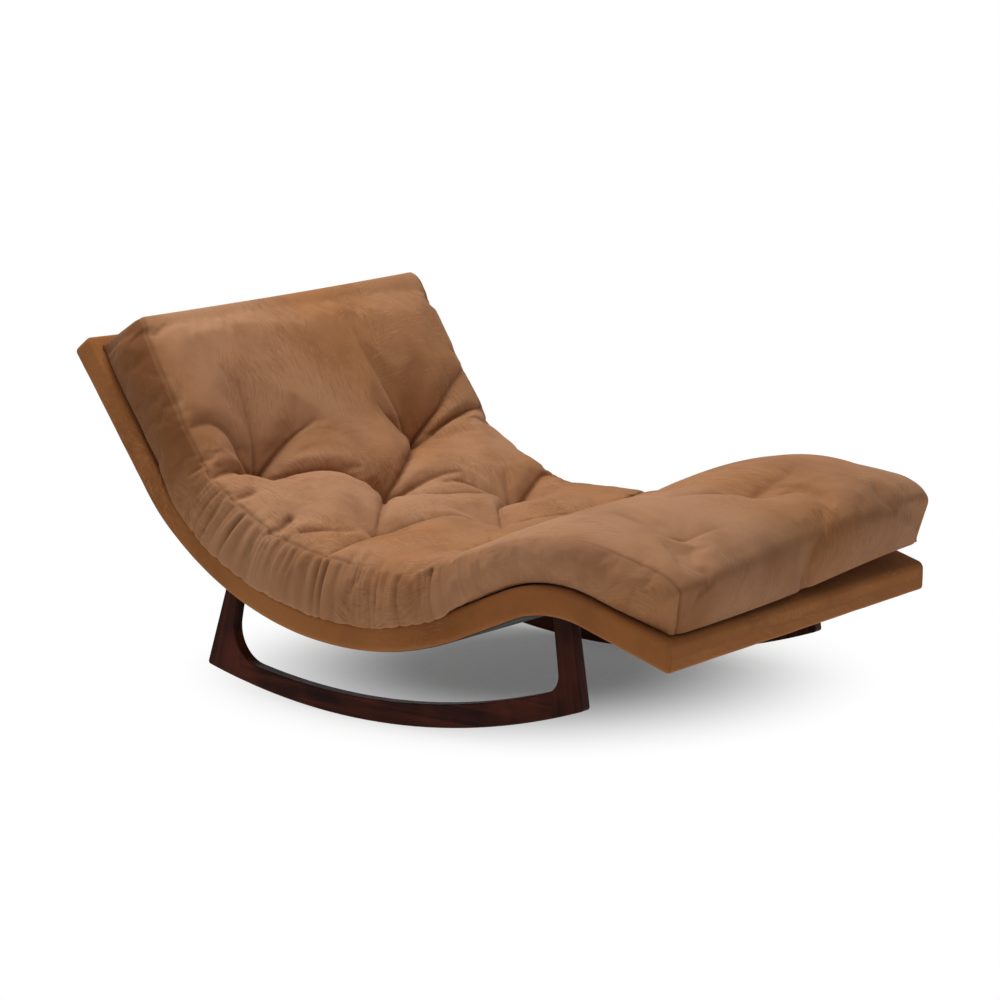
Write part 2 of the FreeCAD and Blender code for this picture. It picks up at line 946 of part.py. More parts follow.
def zip_chain():
    half = zip_chain_width / 2
    return zip_box(
        chain_run,
        chain_run + zip_chain_thickness,
        -zip_length / 2,
        zip_length / 2,
        zip_height - half,
        zip_height + half,
    )


pull_run = chain_run - zip_gap - slider_plate - bail_height / 2
slider_rest_y = slider_end_inset - zip_length / 2


def slider_rod(radius, y_low, y_high):
    base = zip_point(pull_run, slider_rest_y + y_low, zip_height)
    return Part.makeCylinder(radius, y_high - y_low, base, Vector(0, 1, 0))


def zip_slider():
    """Slider plate with two flanges that straddle the chain, and a bail for the pull."""
    plate_high = chain_run - zip_gap
    plate_low = plate_high - slider_plate
    y_low = slider_rest_y - slider_length / 2
    y_high = slider_rest_y + slider_length / 2
    flange_in = zip_chain_width / 2 + zip_gap
    flange_out = zip_slot / 2 - zip_gap
    plate_sides = (zip_height - flange_out, zip_height + flange_out)
    body = zip_box(plate_low, plate_high, y_low, y_high, *plate_sides)
    flange_run = (plate_high - fuse_overlap, tape_run - zip_gap)
    for side in (-1, 1):
        h_low, h_high = sorted((zip_height + side * flange_in, zip_height + side * flange_out))
        body = body.fuse(zip_box(*flange_run, y_low, y_high, h_low, h_high))
    bail = zip_box(
        plate_low - bail_height,
        plate_low + fuse_overlap,
        slider_rest_y - bail_width / 2,
        slider_rest_y + bail_width / 2,
        zip_height - bail_height / 2,
        zip_height + bail_height / 2,
    )
    bore = slider_rod(pull_pin_radius + pull_pin_gap, -slider_length, slider_length)
    return body.fuse(bail.cut(bore))


def zip_pull():
    """Tab on a pin through the slider's bail, lying down over the band."""
    half = pull_width / 2
    arm_in = bail_width / 2 + zip_gap
    pin = slider_rod(pull_pin_radius, -half, half)
    run_low = pull_run - pull_thickness / 2
    run_high = pull_run + pull_thickness / 2
    clear = bail_height / 2 * math.sqrt(2) + zip_gap
    h_tip = zip_height - pull_length
    tab = zip_box(
        run_low, run_high, slider_rest_y - half, slider_rest_y + half, h_tip, zip_height - clear
    )
    for side in (-1, 1):
        y_low, y_high = sorted((slider_rest_y + side * arm_in, slider_rest_y + side * half))
        arm_low = zip_height - clear - fuse_overlap
        arm = zip_box(run_low, run_high, y_low, y_high, arm_low, zip_height + pull_pin_radius)
        tab = tab.fuse(arm)
    return tab.fuse(pin)


anchor_low = cushion_base + wrap_inset
core_layer_inset = wrap_inset + wrap_thickness + layer_gap
tie_low = anchor_low + anchor_thickness


def tuft_top(s, y):
    """Height of the top panel's underside in the pit of a tuft."""
    points = section_points(s, wrap_inset)
    return points["pair" if y else "one"][1]


def tie_rods(radius, low, past_top):
    return [
        deck_rod(s, 0.0, y, deck_thickness + low, deck_thickness + tuft_top(s, y) + past_top, radius)
        for s, y in tuft_sites()
    ]


def anchor_discs(grow):
    low = deck_thickness + anchor_low - grow
    high = deck_thickness + tie_low + grow
    return [deck_rod(s, 0.0, y, low, high, anchor_radius + grow) for s, y in tuft_sites()]


def zip_pocket():
    half = zip_length / 2 + slider_length / 2
    return zip_box(
        0.0,
        cloth + zip_pocket_depth,
        -half,
        half,
        zip_height - pocket_half_height,
        zip_height + pocket_half_height,
    )


def cushion_wrap():
    """Soft fibre layer between the foam and the cover, holed at the tufts."""
    outer = cushion_solid(wrap_inset, wrap_inset)
    inner = cushion_solid(wrap_inset + wrap_thickness, wrap_inset + wrap_thickness)
    cuts = tie_rods(tie_hole_radius, anchor_low, wrap_thickness) + anchor_discs(anchor_gap)
    cuts.append(zip_pocket())
    return outer.cut(inner).cut(Part.makeCompound(cuts))


def cushion_core():
    """Foam block of the loose cushion, holed at the tufts."""
    core = cushion_solid(core_layer_inset, core_layer_inset)
    return core.cut(Part.makeCompound(tie_rods(tie_hole_radius, anchor_low, wrap_thickness)))


def half_rib(side):
    outer = deck_width / 2 - core_inset
    y_low, y_high = sorted((side * (outer - rib_width), side * outer))
    return rib(y_low, y_high)


def build():
    shapes = {}
    for name, side in (("right", -1), ("left", 1)):
        for piece, shape in rocker_side(side).items():
            shapes[name + "_" + piece] = shape
        shapes[name + "_side_rib"] = half_rib(side)
        shapes["cushion_" + name + "_band"] = side_band(side)
    for name, s in stretcher_stations.items():
        shapes[name + "_stretcher"] = stretcher(s)
        shapes[name + "_cross_rail"] = cross_rail(s)
    shapes["runner_dowels"] = runner_dowels()
    shapes["stretcher_dowels"] = Part.makeCompound(all_stretcher_dowels(0.0, 0.0))
    shapes["deck_bolts"] = deck_bolts()
    shapes["deck_washers"] = deck_washers()
    shapes["tee_nuts"] = tee_nuts()
    shapes["centre_rib"] = rib(-rib_width / 2, rib_width / 2)
    shapes["head_rail"] = end_rail(True)
    shapes["foot_rail"] = end_rail(False)
    shapes["deck_panel"] = deck_panel()
    shapes["deck_foam"] = deck_foam()
    shapes["deck_cover"] = deck_cover()
    shapes["dust_cover"] = dust_cover()
    shapes["hook_strips"] = strips(hook_low, hook_high)
    shapes["loop_strips"] = strips(loop_low, loop_high)
    shapes["cushion_core"] = cushion_core()
    shapes["cushion_wrap"] = cushion_wrap()
    shapes["cushion_top_panel"] = top_panel()
    shapes["cushion_bottom_panel"] = bottom_panel()
    shapes["cushion_head_band"] = end_band(True)
    shapes["cushion_foot_band"] = end_band(False)
    shapes["tuft_ties"] = Part.makeCompound(tie_rods(tie_radius, tie_low, 0.0))
    shapes["tuft_anchors"] = Part.makeCompound(anchor_discs(0.0))
    shapes["zip_tape"] = zip_tape()
    shapes["zip_chain"] = zip_chain()
    shapes["zip_slider"] = zip_slider()
    shapes["zip_pull"] = zip_pull()
    return shapes


os.makedirs("parts", exist_ok=True)
for node, shape in build().items():
    shape.exportStep(os.path.join("parts", node + ".step"))
    print(node, len(shape.Solids), shape.isValid(), round(shape.Volume / 1000.0, 1), "cm3")
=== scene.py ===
import math

import bmesh
import bpy
import numpy as np
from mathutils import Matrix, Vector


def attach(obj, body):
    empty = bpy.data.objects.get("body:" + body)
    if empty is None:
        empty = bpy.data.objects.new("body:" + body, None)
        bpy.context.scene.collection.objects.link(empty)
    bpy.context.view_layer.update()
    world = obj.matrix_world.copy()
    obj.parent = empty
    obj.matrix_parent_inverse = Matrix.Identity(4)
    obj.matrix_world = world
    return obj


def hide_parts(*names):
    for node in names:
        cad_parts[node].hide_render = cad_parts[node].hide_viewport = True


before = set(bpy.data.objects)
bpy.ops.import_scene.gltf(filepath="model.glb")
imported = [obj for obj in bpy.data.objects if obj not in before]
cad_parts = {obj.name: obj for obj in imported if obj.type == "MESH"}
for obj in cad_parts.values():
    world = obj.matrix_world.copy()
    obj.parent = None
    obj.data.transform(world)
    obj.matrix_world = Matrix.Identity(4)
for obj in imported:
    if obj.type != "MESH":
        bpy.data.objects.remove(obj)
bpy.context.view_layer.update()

# Rocking chaise: tufted cushion on a cloth-covered bent deck, on two walnut rockers.
# Metres. +X is the foot end, -Y the sitter's right, +Z up, floor at z = 0.

# helpers shared by all pieces

def putMesh(name, points, faces):
    # a mesh object from n x 3 points and m x 4 corner numbers
    mesh = bpy.data.meshes.new(name)
    quads = np.asarray(faces, np.int32)
    mesh.vertices.add(len(points))
    mesh.vertices.foreach_set("co", np.asarray(points, np.float32).ravel())
    mesh.loops.add(quads.size)
    mesh.loops.foreach_set("vertex_index", quads.ravel())
    mesh.polygons.add(len(quads))
    mesh.polygons.foreach_set("loop_start", np.arange(0, quads.size, 4, dtype=np.int32))
    mesh.polygons.foreach_set("use_smooth", np.ones(len(quads), bool))
    mesh.update(calc_edges=True)
    piece = bpy.data.objects.new(name, mesh)
    bpy.context.scene.collection.objects.link(piece)
    return piece


def gridFaces(rows, columns, closeColumns=False):
    # quads of a rows x columns grid of points, counted row by row
    lastColumn = columns if closeColumns else columns - 1
    a, b = np.meshgrid(np.arange(rows - 1), np.arange(lastColumn), indexing="ij")
    a, b = a.ravel(), b.ravel()
    nextB = (b + 1) % columns
    return np.stack([a * columns + b, a * columns + nextB, (a + 1) * columns + nextB, (a + 1) * columns + b], 1)


def setAttribute(piece, name, values):
    # one number or one vector for each point
    wide = np.ndim(values) == 2
    attribute = piece.data.attributes.get(name)
    if attribute is None:
        attribute = piece.data.attributes.new(name, "FLOAT_VECTOR" if wide else "FLOAT", "POINT")
    attribute.data.foreach_set("vector" if wide else "value", np.asarray(values, np.float32).ravel())


def readArray(items, field, width=3):
    # one number or one vector of each item, in one array
    values = np.zeros(len(items) * width, np.float32)
    items.foreach_get(field, values)
    return values.reshape(-1, width) if width > 1 else values


def getAttribute(piece, name):
    attribute = piece.data.attributes[name]
    wide = attribute.data_type == "FLOAT_VECTOR"
    return readArray(attribute.data, "vector" if wide else "value", 3 if wide else 1)


def getPoints(mesh):
    return readArray(mesh.vertices, "co").astype(float)


def getNormals(mesh):
    return readArray(mesh.vertex_normals, "vector").astype(float)


def setPoints(mesh, points):
    # moves every point to its new place
    mesh.vertices.foreach_set("co", np.asarray(points, np.float32).ravel())
    mesh.update()


def weld(piece, distance):
    # merges points that coincide and turns every face outwards
    work = bmesh.new()
    work.from_mesh(piece.data)
    bmesh.ops.remove_doubles(work, verts=work.verts, dist=distance)
    bmesh.ops.recalc_face_normals(work, faces=work.faces)
    if work.calc_volume(signed=True) < 0:
        bmesh.ops.reverse_faces(work, faces=work.faces)
    work.to_mesh(piece.data)
    work.free()
    piece.data.update()


def applyModifiers(piece):
    # the mesh as the modifiers leave it, in place of the old one
    evaluated = piece.evaluated_get(bpy.context.evaluated_depsgraph_get())
    mesh = bpy.data.meshes.new_from_object(evaluated)
    old = piece.data
    piece.modifiers.clear()
    piece.data = mesh
    bpy.data.meshes.remove(old)


def smoothStep(x, low, high):
    # 0 below low, 1 above high, an S between
    t = np.clip((np.asarray(x, float) - low) / (high - low), 0, 1)
    return t * t * (3 - 2 * t)


def hill(x, riseFrom, riseTo, fallFrom, fallTo):
    # 0, up to 1, and down to 0 again
    return smoothStep(x, riseFrom, riseTo) * (1 - smoothStep(x, fallFrom, fallTo))


def readTable(table, x):
    # straight lines between the table's points
    return np.interp(x, *np.array(table).T)


def ripple(x, seed, octaves=4, gain=0.55):
    # sum of sines whose pitch and phase come from a seeded generator, about -1 to 1
    generator = np.random.default_rng(seed)
    total, size = np.zeros(np.shape(x)), 0.0
    for octave in range(octaves):
        for _ in range(3):
            pitch = (1.7 ** octave) * generator.uniform(0.7, 1.3)
            phase = generator.uniform(0, 6.3)
            total = total + gain ** octave * np.sin(2 * math.pi * pitch * np.asarray(x) + phase)
        size += gain ** octave * 1.6
    return total / size


# the deck's line

deck = {
    "headEdgeZ": 0.7226,
    "startHeading": -54.0,
    # head to foot: a straight length, or a radius and a turn in degrees
    "runs": (
        (0.3708, 0.0, 0.0), (0.0, 0.452, 11.9), (0.0, 0.760, 65.6),
        (0.139, 0.0, 0.0), (0.0, 0.249, -40.75), (0.2156, 0.0, 0.0),
    ),
    "overrun": 0.1,
    "samples": 6001,
    "thickness": 0.060,
    "width": 0.990,
    "edgeRound": 0.012,
    # the foot face is plumb: its stations lean over this stretch before the foot edge
    "leanFrom": 0.15,
    "leanTo": 0.02,
}


def walkDeck():
    # heading is a broken line over s; x and z are its running sums of cosine and sine
    breaks, headings = [0.0], [math.radians(deck["startHeading"])]
    for length, radius, turn in deck["runs"]:
        breaks.append(breaks[-1] + (length or radius * math.radians(abs(turn))))
        headings.append(headings[-1] + math.radians(turn))
    s = np.linspace(-deck["overrun"], breaks[-1] + deck["overrun"], deck["samples"])
    heading = np.interp(s, breaks, headings)
    middle, step = (heading[1:] + heading[:-1]) / 2, np.diff(s)
    x = np.concatenate([[0.0], np.cumsum(np.cos(middle) * step)])
    z = np.concatenate([[0.0], np.cumsum(np.sin(middle) * step)])
    x -= (np.interp(0.0, s, x) + np.interp(breaks[-1], s, x)) / 2
    z += deck["headEdgeZ"] - np.interp(0.0, s, z)
    return breaks[-1], s, x, z, heading


deckLength, lineS, lineX, lineZ, lineHeading = walkDeck()


def onDeck(s, y, h):
    # point s along the deck's underside, y across, h along its normal
    s, y, h = np.broadcast_arrays(s, y, h)
    heading = np.interp(s, lineS, lineHeading)
    x = np.interp(s, lineS, lineX) - h * np.sin(heading)
    z = np.interp(s, lineS, lineZ) + h * np.cos(heading)
    return np.stack([x, y, z], -1)


def footLean(s):
    # tangent of the last heading, fading in towards the foot edge; times the height it makes the face plumb
    fade = smoothStep(s, deckLength - deck["leanFrom"], deckLength - deck["leanTo"])
    return math.tan(lineHeading[-1]) * fade


# materials

def newMaterial(name):
    # an empty tree with one Principled shader on its output
    material = bpy.data.materials.new(name)
    material.use_nodes = True
    tree = material.node_tree
    tree.nodes.clear()
    output = tree.nodes.new("ShaderNodeOutputMaterial")
    shader = tree.nodes.new("ShaderNodeBsdfPrincipled")
    tree.links.new(shader.outputs["BSDF"], output.inputs["Surface"])
    return material, tree, shader


def setInputs(tree, node, inputs):
    # a value goes straight on its socket, another node's output is linked to it
    for name, value in inputs.items():
        if isinstance(value, bpy.types.NodeSocket):
            tree.links.new(value, node.inputs[name])
        else:
            node.inputs[name].default_value = value


def addNode(tree, kind, inputs=None, **settings):
    # a node with its settings made and its inputs fed
    node = tree.nodes.new(kind)
    for name, value in settings.items():
        setattr(node, name, value)
    setInputs(tree, node, inputs or {})
    return node


def mixColour(tree, factor, a, b):
    # a where the factor is 0, b where it is 1
    return addNode(tree, "ShaderNodeMix", {0: factor, 6: a, 7: b}, data_type="RGBA").outputs[2]


def ramp(tree, value, low, high, toLow=0.0, toHigh=1.0):
    # an S between two values
    inputs = {"Value": value, "From Min": low, "From Max": high, "To Min": toLow, "To Max": toHigh}
    return addNode(tree, "ShaderNodeMapRange", inputs, interpolation_type="SMOOTHSTEP").outputs[0]


def calculate(tree, operation, a, b):
    return addNode(tree, "ShaderNodeMath", {0: a, 1: b}, operation=operation).outputs[0]


def times(tree, a, b):
    return calculate(tree, "MULTIPLY", a, b)


def vectorMath(tree, operation, inputs):
    return addNode(tree, "ShaderNodeVectorMath", inputs, operation=operation).outputs[0]


def noise(tree, vector, scale, detail=3.0, roughness=0.55, distortion=0.0, output="Fac"):
    # soft random field, 0 to 1
    inputs = {"Vector": vector, "Scale": scale, "Detail": detail, "Roughness": roughness, "Distortion": distortion}
    return addNode(tree, "ShaderNodeTexNoise", inputs).outputs[output]


def attribute(tree, name, output="Fac"):
    # a value that was stored on the points
    return addNode(tree, "ShaderNodeAttribute", attribute_name=name).outputs[output]


def objectPlace(tree):
    return addNode(tree, "ShaderNodeTexCoord").outputs["Object"]


def stretch(tree, vector, scale, rotation=(0.0, 0.0, 0.0)):
    # the place turned and then scaled along each axis
    inputs = {"Vector": vector, "Scale": scale, "Rotation": rotation}
    return addNode(tree, "ShaderNodeMapping", inputs).outputs[0]


def bump(tree, height, distance, strength=1.0, normal=None):
    # relief in metres on top of an earlier relief
    inputs = {"Height": height, "Distance": distance, "Strength": strength}
    if normal is not None:
        inputs["Normal"] = normal
    return addNode(tree, "ShaderNodeBump", inputs).outputs[0]


def srgb(red, green, blue):
    # 0-255 screen values to the shader's linear ones
    values = [v / 255 for v in (red, green, blue)]
    return tuple(v / 12.92 if v <= 0.04045 else ((v + 0.055) / 1.055) ** 2.4 for v in values) + (1.0,)


suedeLook = {
    "light": (176, 131, 98),
    "middle": (165, 114, 73),
    "deep": (116, 70, 35),
    "streak": (190, 144, 106),
    "roughness": 0.86,
    "specular": 0.10,
    "sheen": 0.10,
    "sheenRoughness": 0.42,
    "sheenTint": (226, 208, 190),
    # shares of the deep and streak tones
    "patchShare": 0.40,
    "streakShare": 0.42,
    "strokeShare": 0.30,
    "fineShare": 0.16,
    # heights of the relief in metres
    "fineRelief": 0.0006,
    "streakRelief": 0.0010,
    "softRelief": 0.0022,
}


def suedeMaterial(name, placeName, look):
    # brushed nap: soft patches, then thin curved streaks where the pile was stroked the other way
    material, tree, shader = newMaterial(name)
    place = attribute(tree, placeName, "Vector")
    # the place is pushed about by a slow noise, so that the streaks bend
    bend = noise(tree, place, 2.6, 2.0, output="Color")
    centred = vectorMath(tree, "SUBTRACT", {0: bend, 1: (0.5, 0.5, 0.5)})
    pushed = vectorMath(tree, "SCALE", {0: centred, "Scale": 0.24})
    warped = vectorMath(tree, "ADD", {0: place, 1: pushed})
    patches = noise(tree, place, 5.5, 4.0, 0.6)
    broad = noise(tree, place, 1.7, 2.0, 0.5)
    streaks = noise(tree, stretch(tree, warped, (40.0, 230.0, 60.0)), 1.0, 3.0, 0.6)
    streaksAcross = noise(tree, stretch(tree, warped, (210.0, 44.0, 60.0)), 1.0, 3.0, 0.6)
    where = ramp(tree, noise(tree, place, 4.2, 2.0, 0.5), 0.44, 0.60)
    turned = stretch(tree, place, (1.0, 1.0, 1.0), (0.7, 0.2, 1.1))
    whereAcross = ramp(tree, noise(tree, turned, 3.6, 2.0, 0.5), 0.46, 0.62)
    fine = noise(tree, place, 420.0, 3.0, 0.7)
    light, middle, deep, streak = (srgb(*look[tone]) for tone in ("light", "middle", "deep", "streak"))
    base = mixColour(tree, ramp(tree, broad, 0.34, 0.66), middle, light)
    base = mixColour(tree, times(tree, ramp(tree, patches, 0.42, 0.72), look["patchShare"]), base, deep)
    lift = times(tree, ramp(tree, streaks, 0.52, 0.68), where)
    liftAcross = times(tree, ramp(tree, streaksAcross, 0.52, 0.68), whereAcross)
    lift = calculate(tree, "MAXIMUM", lift, liftAcross)
    base = mixColour(tree, times(tree, lift, look["streakShare"]), base, streak)
    drop = times(tree, ramp(tree, streaks, 0.48, 0.34), where)
    base = mixColour(tree, times(tree, drop, look["strokeShare"]), base, deep)
    base = mixColour(tree, times(tree, fine, look["fineShare"]), base, deep)
    relief = bump(tree, fine, look["fineRelief"], 0.5)
    relief = bump(tree, lift, look["streakRelief"], 0.5, relief)
    relief = bump(tree, noise(tree, place, 34.0, 4.0, 0.6), look["softRelief"], 0.35, relief)
    setInputs(tree, shader, {
        "Base Color": base, "Roughness": look["roughness"], "Specular IOR Level": look["specular"],
        "Sheen Weight": look["sheen"], "Sheen Roughness": look["sheenRoughness"],
        "Sheen Tint": srgb(*look["sheenTint"]), "Normal": relief,
    })
    return material, tree, shader, base


woodLook = {
    "dark": (30, 10, 6),
    "middle": (62, 25, 14),
    "light": (92, 42, 25),
    "roughness": 0.40,
    "specular": 0.05,
    "cloudShare": 0.5,
    "poreShare": 0.55,
}


def woodMaterial(name, grainAxis, tilt=0.0):
    # straight grain along one axis: fine pores over broad bands
    look = woodLook
    material, tree, shader = newMaterial(name)
    place = objectPlace(tree)
    along = {"x": (1.2, 26.0, 26.0), "z": (26.0, 26.0, 1.2), "y": (26.0, 1.2, 26.0)}[grainAxis]
    turned = stretch(tree, place, (1.0, 1.0, 1.0), (0.0, tilt, 0.0))
    bands = noise(tree, stretch(tree, turned, along), 1.6, 5.0, 0.6, 0.6)
    pores = noise(tree, stretch(tree, turned, tuple(9.0 * v for v in along)), 1.5, 3.0, 0.7)
    clouds = noise(tree, turned, 7.0, 2.0)
    dark, middle, light = (srgb(*look[tone]) for tone in ("dark", "middle", "light"))
    colour = mixColour(tree, ramp(tree, bands, 0.36, 0.66), dark, middle)
    colour = mixColour(tree, times(tree, ramp(tree, clouds, 0.45, 0.75), look["cloudShare"]), colour, light)
    colour = mixColour(tree, times(tree, ramp(tree, pores, 0.55, 0.72), look["poreShare"]), colour, dark)
    rough = ramp(tree, pores, 0.3, 0.7, look["roughness"] - 0.05, look["roughness"] + 0.14)
    relief = bump(tree, bands, 0.0006, 0.3, bump(tree, pores, 0.0003, 0.5))
    setInputs(tree, shader, {
        "Base Color": colour, "Roughness": rough, "Specular IOR Level": look["specular"], "Normal": relief,
    })
    return material


def plainMaterial(name, colour, other, scale, roughness=0.7, metallic=0.0, relief=0.0003, along=(1.0, 1.0, 1.0)):
    # two close tones mixed by a noise, with a matching relief
    material, tree, shader = newMaterial(name)
    place = stretch(tree, objectPlace(tree), along)
    grain = noise(tree, place, scale, 4.0, 0.65)
    colours = mixColour(tree, ramp(tree, grain, 0.35, 0.65), srgb(*colour), srgb(*other))
    rough = ramp(tree, grain, 0.3, 0.7, roughness - 0.06, roughness + 0.06)
    raised = bump(tree, grain, relief, 0.5)
    setInputs(tree, shader, {"Base Color": colours, "Roughness": rough, "Metallic": metallic, "Normal": raised})
    return material


# the cushion

cushion = {
    "headS": 0.030,
    "footS": deckLength - 0.039,
    "base": 0.0629,
    # height of the seams above the deck, along s: thinner where the cushion bends over the knee
    "seamAt": (
        (0.03, 0.124), (0.12, 0.116), (0.25, 0.110), (1.05, 0.110), (1.20, 0.100),
        (1.35, 0.090), (1.55, 0.088), (1.66, 0.098), (1.76, 0.106), (1.83, 0.104),
    ),
    "headFace": 0.112,
    "headRoll": 0.030,
    "footFace": 0.084,
    "footRoll": 0.052,
    "halfWidth": 0.474,
    "baseHalf": 0.478,
    "headNarrow": 0.008,
    "headDraw": 0.036,
    "headDrawReach": 0.13,
    "farDraw": 0.1,
    "footNarrow": 0.014,
    # how much higher the middle is than the seams, along s
    "crownAt": (
        (0.03, 0.006), (0.20, 0.026), (0.45, 0.044), (0.90, 0.042), (1.10, 0.024),
        (1.30, 0.012), (1.45, 0.012), (1.60, 0.028), (1.74, 0.032), (1.83, 0.018),
    ),
    "crownPower": 2.4,
    "endBulge": 0.008,
    "endBulgeHeight": 0.09,
    # the far edge stands higher than the near one, along s; at the head it also slides up, at the foot it lifts off
    "farLiftAt": (
        (0.03, 0.036), (0.15, 0.036), (0.35, 0.020), (0.50, 0.008), (0.90, 0.008),
        (1.10, 0.024), (1.30, 0.034), (1.50, 0.032), (1.65, 0.018), (1.83, 0.012),
    ),
    "farHeadSlide": 0.026,
    "farFootLift": 0.042,
    "farFootReach": 0.42,
    "liftHeight": 0.11,
    # over the knee the seams are rounded off
    "edgeRounds": 26,
    "edgeReach": 0.045,
    "cell": 0.0080,
    # tufts: s, y, how deep the cloth is pulled, reach of the pit
    "tufts": (
        (0.478, -0.300, 0.062, 0.070), (0.458, 0.237, 0.064, 0.075), (0.675, -0.050, 0.056, 0.060),
        (0.872, -0.250, 0.038, 0.050), (0.865, 0.245, 0.056, 0.065), (1.066, 0.000, 0.022, 0.050),
        (1.250, 0.240, 0.030, 0.050), (1.263, -0.230, 0.012, 0.045), (1.480, 0.020, 0.026, 0.045),
        (1.628, 0.070, 0.034, 0.050), (1.688, -0.290, 0.018, 0.040),
    ),
}

# places of the tufts that the folds run between, s and y in millimetres
nearHead, farHead, midSeat, nearSeat, farSeat = (478, -300), (458, 237), (675, -50), (872, -250), (865, 245)
midThigh, farKnee, midCalf, midFoot, nearFoot = (1066, 0), (1250, 240), (1480, 20), (1628, 70), (1688, -290)

# broad hollows and sharp folds between and around the tufts: points, depth and half width in millimetres
hollows = (
    ((nearHead, (340, -290), (170, -270)), 30, 62),
    ((farHead, (330, 225), (150, 200)), 32, 68),
    ((nearHead, (560, -160), midSeat), 14, 45),
    ((farHead, (560, 100), midSeat), 14, 45),
    ((midSeat, (780, -150), nearSeat), 10, 40),
    ((midSeat, (770, 100), farSeat), 12, 45),
    ((farSeat, (960, 130), midThigh), 10, 45),
    ((midThigh, (1160, 120), farKnee), 8, 45),
    ((farKnee, (1360, 130), midCalf), 8, 45),
    ((midCalf, (1550, 50), midFoot), 8, 40),
)

folds = (
    ((nearHead, (520, -215), (565, -145), (630, -110), (675, -55)), 20, 14),
    ((farHead, (598, 60), (675, -48)), 22, 13),
    ((nearHead, (444, -345), (370, -350), (322, -380), (309, -430), (319, -470)), 14, 15),
    ((nearHead, (470, -360), (464, -420), (484, -474)), 20, 14),
    (((474, -300), (359, -290), (284, -285), (239, -280)), 14, 16),
    (((474, -300), (439, -260), (389, -200), (364, -140)), 18, 18),
    ((farHead, (359, 190), (300, 160)), 14, 16),
    ((farHead, (349, 350), (289, 460)), 18, 17),
    ((farHead, (454, 290), (409, 420), (400, 474)), 20, 15),
    ((farHead, (394, 130), (350, 90)), 12, 14),
    ((midSeat, (693, 0), (700, 90), (720, 150)), 14, 14),
    ((midSeat, (740, -30), (800, 50), (850, 180), farSeat), 14, 15),
    ((midSeat, (740, -120), (830, -210), nearSeat), 15, 12),
    ((farSeat, (833, 330), (770, 430), (758, 474)), 24, 16),
    ((farSeat, (833, 200), (768, 150), (733, 90)), 14, 13),
    ((farSeat, (942, 120), (990, 60), midThigh), 12, 16),
    ((nearSeat, (920, -320), (942, -400), (950, -474)), 14, 13),
    ((nearSeat, (960, -130), midThigh), 9, 16),
    ((farKnee, (1230, 300), (1190, 380), (1180, 470)), 12, 14),
    ((farKnee, (1160, 110), midThigh), 7, 18),
    ((farKnee, (1370, 120), midCalf), 7, 18),
    ((midFoot, (1618, 0), (1602, -60), (1592, -120)), 14, 12),
    ((midFoot, (1640, 180), (1620, 280)), 10, 14),
    ((nearFoot, (1708, -260), (1733, -210)), 9, 11),
    ((midCalf, (1440, 0), (1400, -30)), 10, 12),
    ((farKnee, (1262, 200), (1270, 150)), 10, 12),
    (((578, -420), (583, -474)), 10, 10),
    (((720, -410), (748, -474)), 14, 10),
    (((798, -430), (838, -370), (910, -370)), 8, 10),
)


def cushionProfile():
    # side outline from the lower head edge up, along the seam and round down to the lower foot edge,
    # resampled to even steps; each point has its outward normal in the (s, h) plane
    c = cushion
    quarter = np.linspace(0, math.pi / 2, 30)
    topS = np.linspace(c["headS"] + c["headRoll"], c["footS"] - c["footRoll"], 500)
    topH = readTable(c["seamAt"], topS)
    headRise, footRise = topH[0] - c["headFace"], topH[-1] - c["footFace"]
    pieces = [
        (np.full(12, c["headS"]), np.linspace(0, c["headFace"], 12)),
        (c["headS"] + c["headRoll"] * (1 - np.cos(quarter)), c["headFace"] + headRise * np.sin(quarter)),
        (topS, topH),
        (c["footS"] - c["footRoll"] * (1 - np.sin(quarter)), c["footFace"] + footRise * np.cos(quarter)),
        (np.full(12, c["footS"]), np.linspace(c["footFace"], 0, 12)),
    ]
    s = np.concatenate([p[0] for p in pieces])
    h = np.concatenate([p[1] for p in pieces]) + c["base"]
    arc = np.concatenate([[0], np.cumsum(np.hypot(np.diff(s), np.diff(h)))])
    kept = np.concatenate([[True], np.diff(arc) > 1e-7])
    s, h, arc = s[kept], h[kept], arc[kept]
    even = np.linspace(0, arc[-1], int(round(arc[-1] / c["cell"])) + 1)
    s, h = np.interp(even, arc, s), np.interp(even, arc, h)
    ds, dh = np.gradient(s), np.gradient(h)
    size = np.hypot(ds, dh)
    normals = np.stack([-dh / size, ds / size], 1)
    for _ in range(3):
        normals[1:-1] = (normals[:-2] + 2 * normals[1:-1] + normals[2:]) / 4
    return even, s, h, normals / np.linalg.norm(normals, axis=1)[:, None]


def distanceToLine(s, y, line):
    # distance of each (s, y) to a bent line, and how far along it the nearest point is (0 to 1)
    line = np.asarray(line)
    bestDistance, bestAlong = np.full(s.shape, 9.0), np.zeros(s.shape)
    lengths = np.hypot(*np.diff(line, axis=0).T)
    passed = 0.0
    for start, end, length in zip(line[:-1], line[1:], lengths):
        direction = (end - start) / length
        t = np.clip((s - start[0]) * direction[0] + (y - start[1]) * direction[1], 0, length)
        distance = np.hypot(s - start[0] - t * direction[0], y - start[1] - t * direction[1])
        nearer = distance < bestDistance
        bestDistance = np.where(nearer, distance, bestDistance)
        bestAlong = np.where(nearer, (passed + t) / lengths.sum(), bestAlong)
        passed += length
    return bestDistance, bestAlong


def bentLine(points):
    # smooth line in metres through a fold's points: each corner is cut at its quarters, three rounds
    line = np.asarray(points, float) / 1000
    for _ in range(3):
        cut = np.empty((2 * len(line) - 2, 2))
        cut[0::2] = 0.75 * line[:-1] + 0.25 * line[1:]
        cut[1::2] = 0.25 * line[:-1] + 0.75 * line[1:]
        line = np.vstack([line[:1], cut, line[-1:]])
    return line


